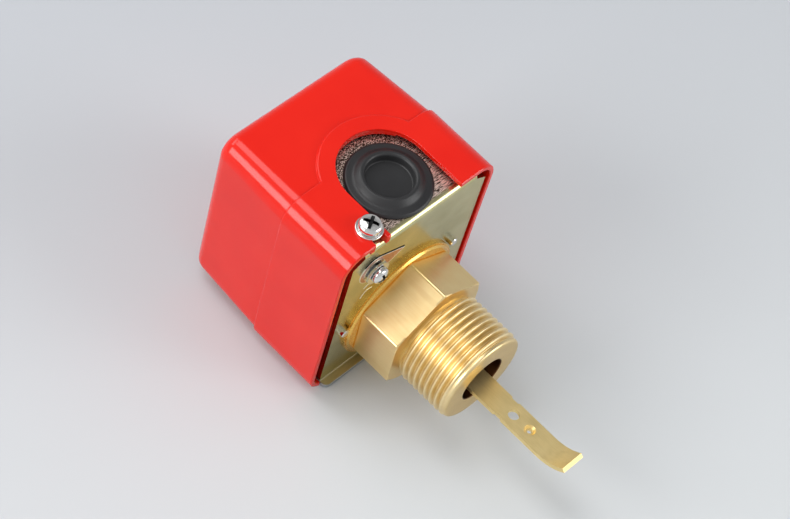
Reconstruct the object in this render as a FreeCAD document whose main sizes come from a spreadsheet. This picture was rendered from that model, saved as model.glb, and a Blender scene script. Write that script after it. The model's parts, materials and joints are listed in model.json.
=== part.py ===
"""Paddle flow switch with a 1 inch pipe thread, as a parametric FreeCAD document.

Frame, millimetres: the stem axis is Y, the threaded end and the paddle point to -Y,
the closed end of the cover is at +Y, and the cable entry faces +Z. The origin lies on
the stem axis at the upper end of the full pipe thread, just below the hexagon's relief.
"""
import FreeCAD, Part
import math
import os

import Sketcher

V = FreeCAD.Vector

# ---------------------------------------------------------------- driving dimensions
SIZES = [
    # stem
    ("thread_dia", 33.25), ("thread_len", 21.6), ("relief_dia", 30.6), ("relief_len", 1.1),
    ("end_ring_dia", 32.2), ("end_ring_len", 1.3), ("end_chamfer", 0.6), ("thread_lead", 0.5),
    ("hex_flats", 36.8), ("hex_len", 15.3), ("hex_chamfer", 1.0), ("hex_turn", 2.0),
    ("bore_dia", 19.3), ("bore_len", 20.6), ("seal_bore_dia", 13.2),
    ("nipple_dia", 17.0), ("nipple_past", 0.5), ("fit_gap", 0.05),
    ("collar_dia", 45.8), ("collar_thick", 2.0), ("collar_step", 0.6),
    ("nut_flats", 24.0), ("nut_len", 4.5), ("nut_chamfer", 0.7),
    # bellows
    ("bellows_dia", 12.0), ("bellows_core", 8.0), ("bellows_wall", 0.4), ("bellows_start", 5.6),
    ("fold_pitch", 2.2), ("fold_count", 7), ("bellows_cap", 0.6),
    # base bracket
    ("sheet", 1.5), ("base_left", 28.0), ("base_right", 29.2), ("collar_room", 0.35),
    ("back_lip", 2.8), ("lip_corner", 2.0), ("lip_bend_radius", 1.8), ("flange_face", 44.3),
    ("flange_step", 4.5), ("flange_len", 35.5),
    ("relief_slope", 2.6), ("relief_depth", 2.1), ("bend_radius", 2.2), ("flange_corner", 5.0),
    ("earth_x", 17.6), ("earth_z", 31.7), ("recess_radius", 5.5), ("recess_tip", 13.3),
    ("recess_drop", 0.6), ("recess_depth", 0.35),
    # cable entry
    ("entry_x", 0.6), ("entry_rise", 15.2), ("entry_hole", 20.5),
    ("grommet_dia", 28.5), ("grommet_rim", 1.3), ("grommet_ring", 18.8), ("grommet_ring_wall", 1.3),
    ("grommet_ring_rise", 1.7), ("grommet_recess", 2.2), ("grommet_lip", 1.4), ("grommet_tail", 3.2),
    ("grommet_skin", 1.6), ("soft_gap", 0.1),
    # cover
    ("cover_left_room", 5.56), ("cover_right_room", 2.84), ("cover_front_room", 3.5),
    ("cover_back_room", 0.45), ("notch_side", 0.4), ("notch_over", 0.3), ("cover_wall", 1.8),
    ("lip_past", 0.7), ("skirt_len", 27.0), ("crown_len", 31.0),
    ("crown_inset", 0.7), ("crown_lean", 1.7), ("cover_corner", 4.5), ("cover_top_corner", 5.0),
    ("cover_edge", 4.4),
    ("opening_dia", 30.1), ("opening_rise", 17.55), ("boss_dia", 41.6), ("boss_overlap", 1.0),
    ("boss_depth", 3.2), ("screw_slot", 4.6), ("slot_pad_wide", 8.4), ("slot_pad_long", 10.4),
    # cover screw and earth screw, M4
    ("m4_dia", 4.0), ("m4_head", 7.4), ("m4_head_len", 2.3), ("m4_washer", 8.8),
    ("m4_washer_thick", 0.7), ("m4_spring_dia", 7.0), ("m4_spring_thick", 0.8),
    ("m4_flats", 7.0), ("m4_nut_len", 3.2), ("cover_screw_x", 18.4), ("cover_screw_rise", 5.05),
    ("cover_screw_past", 2.0), ("earth_thread_show", 0.2), ("head_dome", 0.7), ("tip_past", 0.8),
    # switch frame
    ("frame_gap", 30.0), ("frame_back", 12.0), ("frame_web", 19.5), ("frame_top", 37.0),
    ("frame_arm_back", 21.0), ("frame_arm_rise", 17.0), ("frame_tab", 11.0),
    ("foot_wide", 11.0), ("foot_past", 3.4), ("foot_room", 0.35), ("left_screw_turn", 8.4),
    ("right_screw_turn", 30.5), ("window_wide", 14.0), ("window_len", 20.0),
    ("window_rise", 9.0), ("m3_dia", 3.0), ("m3_head", 5.6), ("m3_head_len", 1.9),
    ("m3_flats", 5.5), ("m3_nut_len", 2.4), ("frame_screw_past", 2.0),
    # pivot and lever
    ("pivot_rise", 5.2), ("pin_dia", 3.0), ("pin_head", 5.2), ("pin_head_len", 1.2),
    ("pin_past", 1.6), ("clip_dia", 6.4), ("clip_thick", 0.6), ("clip_groove", 2.4),
    ("bush_dia", 5.4), ("lever_head", 8.0), ("lever_head_rise", 3.5), ("lever_head_drop", 4.0),
    ("rod_dia", 5.2), ("rod_end", 6.9), ("stub_dia", 4.0), ("stub_len", 5.2), ("turn_gap", 0.05),
    ("side_gap", 0.3),
    # paddle arm
    ("arm_wide", 8.6), ("arm_thick", 1.6), ("arm_drop", 2.0), ("arm_root", 3.1),
    ("arm_straight", 48.4), ("tip_radius", 14.0), ("tip_angle", 45.0), ("notch_start", 30.3),
    ("notch_len", 2.4), ("notch_depth", 0.45), ("blade_hole_dia", 3.8), ("blade_hole_at", 34.6),
    ("dimple_dia", 3.8), ("dimple_hole", 1.3), ("dimple_depth", 1.0), ("dimple_slope", 35.0), ("dimple_at", 41.6),
    ("rivet_dia", 2.0), ("rivet_head", 3.4), ("rivet_head_len", 0.7), ("rivet_at", 0.2),
    ("rivet_pitch", 4.0),
    # rocker
    ("rocker_half", 4.5), ("rocker_front", 18.8), ("rocker_back", 14.0), ("rocker_tail", 6.4),
    ("rocker_hub", 4.8), ("rocker_shoulder", 3.5), ("pip_dia", 3.8), ("pip_len", 0.8),
    # basic switch
    ("switch_wide", 17.0), ("switch_long", 30.0), ("switch_tall", 15.0), ("switch_back", 21.0),
    ("switch_rise", 19.7), ("barrier_tall", 3.0), ("barrier_thick", 1.4), ("switch_edge", 0.8),
    ("terminal_pitch", 10.0), ("terminal_first", 16.0), ("terminal_long", 13.0),
    ("terminal_wide", 6.4), ("terminal_thick", 0.8), ("clamp_side", 5.8), ("clamp_thick", 0.8),
    ("terminal_screw_deep", 5.0), ("mount_rise", 4.4), ("mount_back", 17.2), ("mount_pitch", 22.2),
    ("sheet_thick", 0.5), ("sheet_past", 0.8), ("plunger_dia", 3.2), ("plunger_z", 11.0),
    ("plunger_inside", 4.0), ("plunger_gap", 0.05), ("plunger_room", 2.4),
    # range adjuster
    ("range_z", 14.5), ("range_screw_end", 2.7), ("range_gap", 0.05), ("seat_side", 9.0),
    ("seat_len", 3.0), ("spring_len", 11.5), ("spring_dia", 6.0), ("wire_dia", 0.9),
    ("spring_turns", 6),
    # cutters reach this far past the faces they cut
    ("cut_past", 1.0),
]


class Size:
    """A length that knows its number and the spreadsheet expression it comes from."""

    def __init__(self, text, value):
        self.text = text
        self.value = float(value)

    def _join(self, other, sign, value, swap=False):
        left, right = self.text, size(other).text
        if swap:
            left, right = right, left
        return Size(f"({left} {sign} {right})", value)

    def __add__(self, other):
        return self._join(other, "+", self.value + size(other).value)

    def __sub__(self, other):
        return self._join(other, "-", self.value - size(other).value)

    def __mul__(self, other):
        return self._join(other, "*", self.value * size(other).value)

    def __truediv__(self, other):
        return self._join(other, "/", self.value / size(other).value)

    def __neg__(self):
        return Size(f"(0 - {self.text})", -self.value)

    def __radd__(self, other):
        return size(other) + self

    def __rsub__(self, other):
        return size(other) - self

    def __rmul__(self, other):
        return size(other) * self


def size(number):
    """Return a Size for a plain number, or the Size itself."""
    if isinstance(number, Size):
        return number
    return Size(repr(float(number)), number)


def cosine(angle):
    """Cosine of an angle in degrees, as a Size."""
    return Size(f"cos({size(angle).text})", math.cos(math.radians(size(angle).value)))


def sine(angle):
    """Sine of an angle in degrees, as a Size."""
    return Size(f"sin({size(angle).text})", math.sin(math.radians(size(angle).value)))


def root(square):
    """Square root of a Size."""
    return Size(f"sqrt({square.text})", math.sqrt(square.value))


doc = FreeCAD.newDocument("paddle_flow_switch")


def make_sheet():
    """Write the driving dimensions into the spreadsheet and return them as Sizes by name."""
    sheet = doc.addObject("Spreadsheet::Sheet", "sizes")
    table = {}
    for row, (name, value) in enumerate(SIZES, start=1):
        sheet.set(f"A{row}", name)
        sheet.set(f"B{row}", str(value))
        sheet.setAlias(f"B{row}", name)
        table[name] = Size(f"sizes.{name}", value)
    doc.recompute()
    return table


class Dims:
    """Driving dimensions as attributes, with the levels that are worked out from them."""

    def __init__(self, table):
        self.__dict__.update(table)
        self.shoulder = self.relief_len + self.thread_lead
        self.thread_end = self.shoulder - self.thread_len
        self.hex_top = self.shoulder + self.hex_len
        self.plate_low = self.hex_top + self.collar_thick
        self.plate_top = self.plate_low + self.sheet
        self.nut_top = self.plate_top + self.nut_len
        self.nipple_top = self.nut_top + self.nipple_past
        self.pivot_y = self.nipple_top + self.pivot_rise
        self.rocker_low = self.pivot_y + self.lever_head_rise
        self.rocker_top = self.rocker_low + self.sheet
        self.lip_y = self.plate_low - self.lip_past
        self.step_y = self.lip_y + self.skirt_len
        self.cover_top = self.step_y + self.crown_len
        self.base_back = self.collar_dia / 2 + self.collar_room + self.sheet
        self.flange_left = self.base_left - self.flange_step
        self.flange_right = self.base_right - self.flange_step
        cover_left = self.base_left + self.cover_left_room
        cover_right = self.base_right + self.cover_right_room
        cover_back = self.base_back + self.cover_back_room
        self.cover_face = self.flange_face + self.cover_front_room
        self.cover_wide = cover_left + cover_right
        self.cover_deep = self.cover_face + cover_back
        self.cover_x = (cover_left - cover_right) / 2
        self.cover_z = (self.cover_face - cover_back) / 2
        foot_reach = self.collar_dia / 2 + self.m3_dia / 2 + self.foot_room
        self.left_screw_x = foot_reach * cosine(self.left_screw_turn)
        self.left_screw_z = foot_reach * sine(self.left_screw_turn)
        self.right_screw_x = foot_reach * cosine(self.right_screw_turn)
        self.right_screw_z = foot_reach * sine(self.right_screw_turn)
        self.entry_y = self.plate_low + self.entry_rise
        self.opening_y = self.plate_low + self.opening_rise
        self.cover_screw_y = self.plate_low + self.cover_screw_rise
        self.frame_top_y = self.plate_top + self.frame_top
        self.tab_top = self.frame_top_y + self.sheet
        self.cheek_in = self.frame_gap / 2
        self.cheek_out = self.cheek_in + self.sheet
        self.switch_low = self.plate_top + self.switch_rise
        self.switch_top = self.switch_low + self.switch_tall
        self.switch_left = self.cheek_in - self.sheet_thick
        self.switch_x = -self.switch_left + self.switch_wide / 2
        self.switch_right = self.switch_wide - self.switch_left
        self.mount_y = self.switch_low + self.mount_rise
        self.arm_top = -self.arm_drop
        self.arm_low = self.arm_top - self.arm_thick
        self.seat_low = self.rocker_top + self.spring_len


D = Dims(make_sheet())


# ---------------------------------------------------------------- helpers
def bind(thing, path, value):
    """Bind a property of an object to a Size."""
    thing.setExpression(path, size(value).text)


def place(thing, x=None, y=None, z=None):
    """Bind the position of an object; None leaves a coordinate at zero."""
    for axis, value in (("x", x), ("y", y), ("z", z)):
        if value is not None:
            bind(thing, f"Placement.Base.{axis}", value)


def new_body(label):
    """Start a PartDesign body with the given label."""
    body = doc.addObject("PartDesign::Body", label)
    body.Label = label
    return body


def origin_plane(body, role):
    """Return the origin plane of a body by its role."""
    return [item for item in body.Origin.OriginFeatures if item.Role == role][0]


def new_sketch(body, name, role, level=None):
    """Add a sketch on an origin plane; level is its height along X, Y or Z."""
    sketch = body.newObject("Sketcher::SketchObject", name)
    sketch.AttachmentSupport = [(origin_plane(body, role), "")]
    sketch.MapMode = "FlatFace"
    if level is not None:
        bind(sketch, "AttachmentOffset.Base.z", -level if role == "XZ_Plane" else level)
    return sketch


def pin_point(sketch, index, spot, x, y):
    """Fix one end of a sketch element at (x, y)."""
    for kind, value in (("DistanceX", x), ("DistanceY", y)):
        value = size(value)
        made = sketch.addConstraint(Sketcher.Constraint(kind, -1, 1, index, spot, value.value))
        sketch.setExpression(f"Constraints[{made}]", value.text)


def draw_polygon(sketch, corners):
    """Draw a closed polygon whose corners are bound to Sizes."""
    corners = [(size(x), size(y)) for x, y in corners]
    first = sketch.GeometryCount
    count = len(corners)
    for step, (x, y) in enumerate(corners):
        after_x, after_y = corners[(step + 1) % count]
        line = Part.LineSegment(V(x.value, y.value, 0), V(after_x.value, after_y.value, 0))
        sketch.addGeometry(line, False)
    for step in range(count):
        after = first + (step + 1) % count
        sketch.addConstraint(Sketcher.Constraint("Coincident", first + step, 2, after, 1))
    for step, (x, y) in enumerate(corners):
        pin_point(sketch, first + step, 1, x, y)


def draw_box(sketch, left, low, right, high):
    """Draw a rectangle from (left, low) to (right, high)."""
    draw_polygon(sketch, [(left, low), (right, low), (right, high), (left, high)])


def draw_circle(sketch, x, y, radius):
    """Draw a circle bound to Sizes."""
    x, y, radius = size(x), size(y), size(radius)
    index = sketch.addGeometry(Part.Circle(V(x.value, y.value, 0), V(0, 0, 1), radius.value), False)
    pin_point(sketch, index, 3, x, y)
    made = sketch.addConstraint(Sketcher.Constraint("Radius", index, radius.value))
    sketch.setExpression(f"Constraints[{made}]", radius.text)


def draw_arc(sketch, x, y, radius, start, end):
    """Draw an arc about (x, y); start and end are (x, y) Sizes, counter-clockwise."""
    x, y, radius = size(x), size(y), size(radius)
    angles = []
    for px, py in (start, end):
        angles.append(math.atan2(size(py).value - y.value, size(px).value - x.value))
    if angles[1] < angles[0]:
        angles[1] += 2 * math.pi
    ring = Part.Circle(V(x.value, y.value, 0), V(0, 0, 1), radius.value)
    index = sketch.addGeometry(Part.ArcOfCircle(ring, angles[0], angles[1]), False)
    pin_point(sketch, index, 3, x, y)
    made = sketch.addConstraint(Sketcher.Constraint("Radius", index, radius.value))
    sketch.setExpression(f"Constraints[{made}]", radius.text)
    for spot, (px, py) in ((1, start), (2, end)):
        px, py = size(px), size(py)
        steep = abs(px.value - x.value) < abs(py.value - y.value)
        kind, bound = ("DistanceX", px) if steep else ("DistanceY", py)
        made = sketch.addConstraint(Sketcher.Constraint(kind, -1, 1, index, spot, bound.value))
        sketch.setExpression(f"Constraints[{made}]", bound.text)
    return index


def draw_rounded_box(sketch, half_x, half_y, radius):
    """Draw a rectangle about the origin with round corners."""
    x, y = half_x - radius, half_y - radius
    corners = (
        (x, y, (half_x, y), (x, half_y)), (-x, y, (-x, half_y), (-half_x, y)),
        (-x, -y, (-half_x, -y), (-x, -half_y)), (x, -y, (x, -half_y), (half_x, -y)))
    arcs = [draw_arc(sketch, *corner[:2], radius, *corner[2:]) for corner in corners]
    for step, corner in enumerate(corners):
        after = (step + 1) % len(corners)
        side = draw_line(sketch, corner[3], corners[after][2])
        join(sketch, arcs[step], 2, side, 1)
        join(sketch, side, 2, arcs[after], 1)


def draw_line(sketch, start, end):
    """Draw a free line between two points; its ends are joined to other elements."""
    ends = [V(size(x).value, size(y).value, 0) for x, y in (start, end)]
    return sketch.addGeometry(Part.LineSegment(ends[0], ends[1]), False)


def join(sketch, first, first_end, second, second_end):
    """Make two ends of a sketch coincide."""
    sketch.addConstraint(Sketcher.Constraint("Coincident", first, first_end, second, second_end))


def pad(body, sketch, name, length, up=True, taper=None):
    """Pad a sketch by a length; up=True pads towards the positive model axis."""
    feature = body.newObject("PartDesign::Pad", name)
    feature.Profile = sketch
    bind(feature, "Length", length)
    on_xz = sketch.AttachmentSupport[0][0].Role == "XZ_Plane"
    feature.Reversed = up if on_xz else not up
    if taper is not None:
        bind(feature, "TaperAngle", taper)
    doc.recompute()
    return feature


def pocket(body, sketch, name, length, up=False, taper=None):
    """Pocket a sketch by a length; up=True cuts towards the positive model axis."""
    feature = body.newObject("PartDesign::Pocket", name)
    feature.Profile = sketch
    bind(feature, "Length", length)
    on_xz = sketch.AttachmentSupport[0][0].Role == "XZ_Plane"
    feature.Reversed = (not up) if on_xz else up
    if taper is not None:
        bind(feature, "TaperAngle", taper)
    doc.recompute()
    return feature


def loft(body, low, high, name, cut=False):
    """Loft between two sketches, added to the body or cut from it."""
    kind = "PartDesign::SubtractiveLoft" if cut else "PartDesign::AdditiveLoft"
    feature = body.newObject(kind, name)
    feature.Profile = low
    feature.Sections = [high]
    feature.Ruled = True
    doc.recompute()
    return feature


def revolve(body, sketch, name, axis="V_Axis"):
    """Revolve a sketch a full turn about its vertical or horizontal axis."""
    feature = body.newObject("PartDesign::Revolution", name)
    feature.Profile = sketch
    feature.ReferenceAxis = (sketch, [axis])
    feature.Angle = 360
    doc.recompute()
    return feature


def groove(body, sketch, name, axis="V_Axis"):
    """Cut a sketch revolved a full turn about its vertical or horizontal axis."""
    feature = body.newObject("PartDesign::Groove", name)
    feature.Profile = sketch
    feature.ReferenceAxis = (sketch, [axis])
    feature.Angle = 360
    doc.recompute()
    return feature


def fillet(body, name, radius, chosen):
    """Round the edges of the body's tip for which chosen(edge) is true."""
    base = body.Tip
    names = [f"Edge{n}" for n, edge in enumerate(base.Shape.Edges, start=1) if chosen(edge)]
    feature = body.newObject("PartDesign::Fillet", name)
    feature.Base = (base, names)
    bind(feature, "Radius", radius)
    doc.recompute()
    return feature


def span(edge, axis):
    """Length of an edge's bounding box along an axis: x, y or z."""
    box = edge.BoundBox
    return {"x": box.XLength, "y": box.YLength, "z": box.ZLength}[axis]


def near(value, target, within=0.01):
    """True where a number lies on a Size."""
    return abs(value - size(target).value) < within


def spin(label, profile, role="XY_Plane", axis="V_Axis"):
    """Make a body by revolving a polygon."""
    body = new_body(label)
    sketch = new_sketch(body, f"{label}_profile", role)
    draw_polygon(sketch, profile)
    revolve(body, sketch, f"{label}_turned", axis)
    return body


def ring(label, inner, outer, low, high, role="XY_Plane", axis="V_Axis"):
    """Make a plain ring or, where inner is zero, a disc: radii and levels as Sizes."""
    corners = ((inner, low), (outer, low), (outer, high), (inner, high))
    return spin(label, along_axis(corners, axis), role, axis)


def along_axis(corners, axis):
    """Turn (radius, level) corners into sketch corners for the axis of a revolution."""
    return corners if axis == "V_Axis" else [(level, radius) for radius, level in corners]


def hex_corners(flats):
    """Corners of a hexagon about the origin, with two flats facing +X and -X."""
    reach = flats / 2 / cosine(30)
    turns = [30 + 60 * step for step in range(6)]
    return [(reach * cosine(turn), reach * sine(turn)) for turn in turns]


def group(label, members):
    """Join repeated solids into one sub-part."""
    compound = doc.addObject("Part::Compound", label)
    compound.Label = label
    compound.Links = members
    doc.recompute()
    return compound


def pan_screw(label, dia, head, head_len, seat, tip, role="XY_Plane", axis="V_Axis", sign=1):
    """Make a pan-head screw: the head stands from seat in the direction of sign, tip is its end."""
    core = dia / 2
    rim = head / 2
    top = seat + head_len * sign
    shoulder = top - D.head_dome * sign
    bevel = D.end_chamfer / 2
    corners = ((size(0), tip), (core - bevel, tip), (core, tip + bevel * sign), (core, seat),
               (rim, seat), (rim, shoulder), (rim - D.head_dome, top), (size(0), top))
    return spin(label, along_axis(corners, axis), role, axis)


# ---------------------------------------------------------------- stem
def stem_body():
    """Brass stem: pipe thread blank, relief, hexagon, bore and the nipple through the base."""
    body = new_body("stem_body")
    end, shoulder, top = D.thread_end, D.shoulder, D.hex_top
    ring_top = end + D.end_ring_len
    bore_end = end + D.bore_len
    sketch = new_sketch(body, "stem_profile", "XY_Plane")
    draw_polygon(sketch, [
        (D.bore_dia / 2, end), (D.end_ring_dia / 2 - D.end_chamfer, end),
        (D.end_ring_dia / 2, end + D.end_chamfer), (D.end_ring_dia / 2, ring_top),
        (D.thread_dia / 2, ring_top + D.thread_lead), (D.thread_dia / 2, size(0)),
        (D.relief_dia / 2, D.thread_lead), (D.relief_dia / 2, top), (D.nipple_dia / 2, top),
        (D.nipple_dia / 2, D.nipple_top), (D.seal_bore_dia / 2, D.nipple_top),
        (D.seal_bore_dia / 2, bore_end), (D.bore_dia / 2, bore_end)])
    revolve(body, sketch, "stem_turned")
    sketch = new_sketch(body, "stem_hexagon", "XZ_Plane", shoulder)
    draw_polygon(sketch, hex_corners(D.hex_flats))
    draw_circle(sketch, size(0), size(0), (D.relief_dia + D.bore_dia) / 4)
    pad(body, sketch, "stem_hex", D.hex_len)
    corner = D.hex_flats / 2 / cosine(30)
    past = corner + D.cut_past
    slope = sine(30)
    sketch = new_sketch(body, "stem_chamfer_profile", "XY_Plane")
    draw_polygon(sketch, [(corner - D.hex_chamfer, shoulder), (past, shoulder),
                          (past, shoulder + (D.hex_chamfer + D.cut_past) * slope),
                          (corner, shoulder + D.hex_chamfer * slope)])
    groove(body, sketch, "stem_chamfer")
    bind(body, "Placement.Rotation.Angle", D.hex_turn)
    body.Placement.Rotation.Axis = V(0, -1, 0)
    return body


def stem_collar():
    """Stepped ring between the hexagon and the base."""
    inner = D.nipple_dia / 2 + D.fit_gap
    rim = D.collar_dia / 2
    low, high = D.hex_top, D.plate_low
    half = low + D.collar_thick / 2
    return spin("stem_collar", [
        (inner, low), (rim - D.collar_step * 2, low), (rim - D.collar_step, low + D.collar_step),
        (rim - D.collar_step, half), (rim, half), (rim, high), (inner, high)])


def stem_lock_nut():
    """Thin hexagon nut that clamps the base onto the stem."""
    body = new_body("stem_lock_nut")
    sketch = new_sketch(body, "lock_nut_hexagon", "XZ_Plane", D.plate_top)
    draw_polygon(sketch, hex_corners(D.nut_flats))
    draw_circle(sketch, size(0), size(0), D.nipple_dia / 2 + D.fit_gap)
    pad(body, sketch, "lock_nut_pad", D.nut_len)
    corner = D.nut_flats / 2 / cosine(30)
    top = D.nut_top
    sketch = new_sketch(body, "lock_nut_chamfer_profile", "XY_Plane")
    past = corner + D.cut_past
    low = top - D.nut_chamfer
    draw_polygon(sketch, [(corner - D.nut_chamfer * 2, top), (past, top),
                          (past, low - D.cut_past * sine(30)), (corner, low)])
    groove(body, sketch, "lock_nut_chamfer")
    return body


def bellows():
    """Folded metal bellows that seals the lever rod inside the stem."""
    low = D.bellows_start
    fold_start = low + D.bellows_cap
    half = D.fold_pitch / 2
    crest, valley = D.bellows_dia / 2, D.bellows_core / 2
    bore = D.rod_dia / 2 + D.fit_gap
    outside = [(bore, low), (valley, low)]
    inside = [(bore, fold_start)]
    for fold in range(int(D.fold_count.value)):
        level = fold_start + D.fold_pitch * fold
        outside += [(valley, level), (crest, level + half)]
        inside += [(valley - D.bellows_wall, level), (crest - D.bellows_wall, level + half)]
    del outside[2], inside[1]
    top = fold_start + D.fold_pitch * D.fold_count
    rim = top + D.bellows_cap
    outer = D.seal_bore_dia / 2 - D.fit_gap
    outside += [(valley, top), (outer, top), (outer, rim)]
    inside += [(valley - D.bellows_wall, top), (valley - D.bellows_wall, rim)]
    return spin("bellows", outside + inside[::-1])


# ---------------------------------------------------------------- base bracket and fixings
def base_bracket():
    """Bent sheet base: clipped plate, entry flange, down-turned back lip, holes, earth recess."""
    body = new_body("base_bracket")
    neck = D.flange_face - D.relief_depth
    slope = neck - D.relief_slope
    sketch = new_sketch(body, "base_outline", "XZ_Plane", D.plate_low)
    draw_polygon(sketch, [
        (-D.base_left, -D.base_back), (D.base_right, -D.base_back), (D.base_right, slope),
        (D.flange_right, neck), (D.flange_right, D.flange_face), (-D.flange_left, D.flange_face),
        (-D.flange_left, neck), (-D.base_left, slope)])
    pad(body, sketch, "base_plate", D.sheet)
    sketch = new_sketch(body, "flange_outline", "XY_Plane", D.flange_face)
    flange_top = D.plate_low + D.flange_len
    draw_box(sketch, -D.flange_left, D.plate_low, D.flange_right, flange_top)
    pad(body, sketch, "entry_flange", D.sheet, up=False)
    sketch = new_sketch(body, "back_lip_outline", "XY_Plane", -D.base_back)
    lip_low = D.plate_low - D.back_lip
    draw_box(sketch, -D.base_left, lip_low, D.base_right, D.plate_top)
    pad(body, sketch, "back_lip_pad", D.sheet)

    def along(edge, y, z):
        """True for an edge that runs along X at (y, z)."""
        centre = edge.CenterOfMass
        return span(edge, "z") < 0.01 and near(centre.y, y) and near(centre.z, z)

    def outer_bend(edge):
        return along(edge, D.plate_low, D.flange_face)

    def inner_bend(edge):
        return along(edge, D.plate_top, D.flange_face - D.sheet)

    def flange_corner(edge):
        box = edge.BoundBox
        return near(box.YMin, flange_top) and near(box.YMax, flange_top) and span(edge, "x") < 0.01

    def lip_corner(edge):
        box = edge.BoundBox
        return near(box.YMin, lip_low) and near(box.YMax, lip_low) and span(edge, "x") < 0.01

    def lip_outside(edge):
        return along(edge, D.plate_top, -D.base_back)

    def lip_inside(edge):
        return along(edge, D.plate_low, -D.base_back + D.sheet)

    fillet(body, "bend_outside", D.bend_radius, outer_bend)
    fillet(body, "bend_inside", D.bend_radius - D.sheet, inner_bend)
    fillet(body, "flange_corners", D.flange_corner, flange_corner)
    fillet(body, "lip_bend_outside", D.lip_bend_radius, lip_outside)
    fillet(body, "lip_bend_inside", D.lip_bend_radius - D.sheet, lip_inside)
    fillet(body, "lip_corners", D.lip_corner, lip_corner)
    sketch = new_sketch(body, "base_holes", "XZ_Plane", D.plate_low)
    draw_circle(sketch, size(0), size(0), D.nipple_dia / 2 + D.fit_gap)
    draw_circle(sketch, -D.left_screw_x, D.left_screw_z, D.m3_dia / 2 + D.fit_gap)
    draw_circle(sketch, D.right_screw_x, D.right_screw_z, D.m3_dia / 2 + D.fit_gap)
    draw_circle(sketch, -D.earth_x, D.earth_z, D.m4_dia / 2 + D.fit_gap)
    pocket(body, sketch, "base_drilled", D.sheet, up=True)
    sketch = new_sketch(body, "flange_holes", "XY_Plane", D.flange_face)
    draw_circle(sketch, D.entry_x, D.entry_y, D.entry_hole / 2)
    draw_circle(sketch, -D.cover_screw_x, D.cover_screw_y, D.m4_dia / 2 + D.fit_gap)
    pocket(body, sketch, "flange_drilled", D.sheet)
    earth_recess(body)
    return body


def earth_recess(body):
    """Coin the teardrop recess round the earth screw, pointed towards the plate's middle."""
    x, z = -D.earth_x, D.earth_z - D.recess_drop / 2
    tip_x = x + D.recess_tip
    tip_z = z + D.recess_drop / 2
    upper = (x, z + D.recess_radius)
    lower = (x, z - D.recess_radius)
    sketch = new_sketch(body, "earth_outline", "XZ_Plane", D.plate_low)
    arc = draw_arc(sketch, x, z, D.recess_radius, upper, lower)
    first = draw_line(sketch, lower, (tip_x, tip_z))
    second = draw_line(sketch, (tip_x, tip_z), upper)
    join(sketch, arc, 2, first, 1)
    join(sketch, first, 2, second, 1)
    join(sketch, second, 2, arc, 1)
    pin_point(sketch, first, 2, tip_x, tip_z)
    pocket(body, sketch, "earth_coined", D.recess_depth, up=True)


def cable_grommet():
    """Blanking grommet of the cable entry: rim, raised ring, thin disc and inner lip."""
    face = size(0)
    rim = D.grommet_dia / 2
    ring_out = D.grommet_ring / 2
    ring_in = ring_out - D.grommet_ring_wall
    neck = D.entry_hole / 2 - D.soft_gap
    back = -D.sheet - D.soft_gap * 2
    lip = neck + D.grommet_lip
    tail = back - D.grommet_tail
    hollow = neck - D.grommet_skin
    ring_top = D.grommet_rim + D.grommet_ring_rise
    floor = ring_top - D.grommet_recess
    body = spin("cable_grommet", [
        (size(0), floor), (ring_in, floor), (ring_in, ring_top), (ring_out, ring_top),
        (ring_out + D.soft_gap * 3, D.grommet_rim), (rim - D.soft_gap * 4, D.grommet_rim),
        (rim, D.grommet_rim / 2), (rim, face), (neck, face), (neck, back), (lip, back),
        (neck, tail), (hollow, tail), (hollow, floor - D.grommet_skin),
        (size(0), floor - D.grommet_skin)], "XZ_Plane")
    place(body, D.entry_x, D.entry_y, D.flange_face + D.soft_gap)
    return body


def cover_fixings():
    """Cover screw with its flat and spring washers, along Z on the cover's face."""
    seat = D.m4_washer_thick + D.m4_spring_thick
    bore = D.m4_dia / 2 + D.fit_gap
    tip = -(D.cover_face - D.flange_face) - D.sheet - D.cover_screw_past
    screw = pan_screw("cover_screw", D.m4_dia, D.m4_head, D.m4_head_len, seat, tip, "XZ_Plane")
    flat = ring("cover_flat_washer", bore, D.m4_washer / 2, size(0), D.m4_washer_thick, "XZ_Plane")
    split = ring("cover_spring_washer", bore, D.m4_spring_dia / 2, D.m4_washer_thick, seat,
                 "XZ_Plane")
    for body in (screw, flat, split):
        place(body, -D.cover_screw_x, D.cover_screw_y, D.cover_face)
    return [screw, flat, split]


def earth_fixings():
    """Earth screw under the base with two flat washers, a spring washer and an inner nut."""
    bore = D.m4_dia / 2 + D.fit_gap
    first = -D.m4_washer_thick
    spring = first - D.m4_spring_thick
    second = spring - D.m4_washer_thick
    seat = second - D.earth_thread_show
    tip = D.sheet + D.m4_nut_len + D.tip_past
    screw = pan_screw("earth_screw", D.m4_dia, D.m4_head, D.m4_head_len, seat, tip, sign=-1)
    split = ring("earth_spring_washer", bore, D.m4_spring_dia / 2, spring, first)
    flats = []
    for name, low, high in (("earth_washer_base", first, size(0)), ("earth_washer_wire", second, spring)):
        flats.append(ring(name, bore, D.m4_washer / 2, low, high))
    nut = hex_nut("earth_nut", D.m4_flats, D.m4_dia, D.sheet, D.m4_nut_len)
    for body in [screw, split, nut] + flats:
        place(body, -D.earth_x, D.plate_low, D.earth_z)
    return [screw, split, group("earth_flat_washers", flats), nut]


def hex_nut(label, flats, dia, low, length):
    """Make a hexagon nut along Y."""
    body = new_body(label)
    sketch = new_sketch(body, f"{label}_hexagon", "XZ_Plane", low)
    draw_polygon(sketch, hex_corners(flats))
    draw_circle(sketch, size(0), size(0), dia / 2 + D.fit_gap)
    pad(body, sketch, f"{label}_pad", length)
    return body


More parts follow.
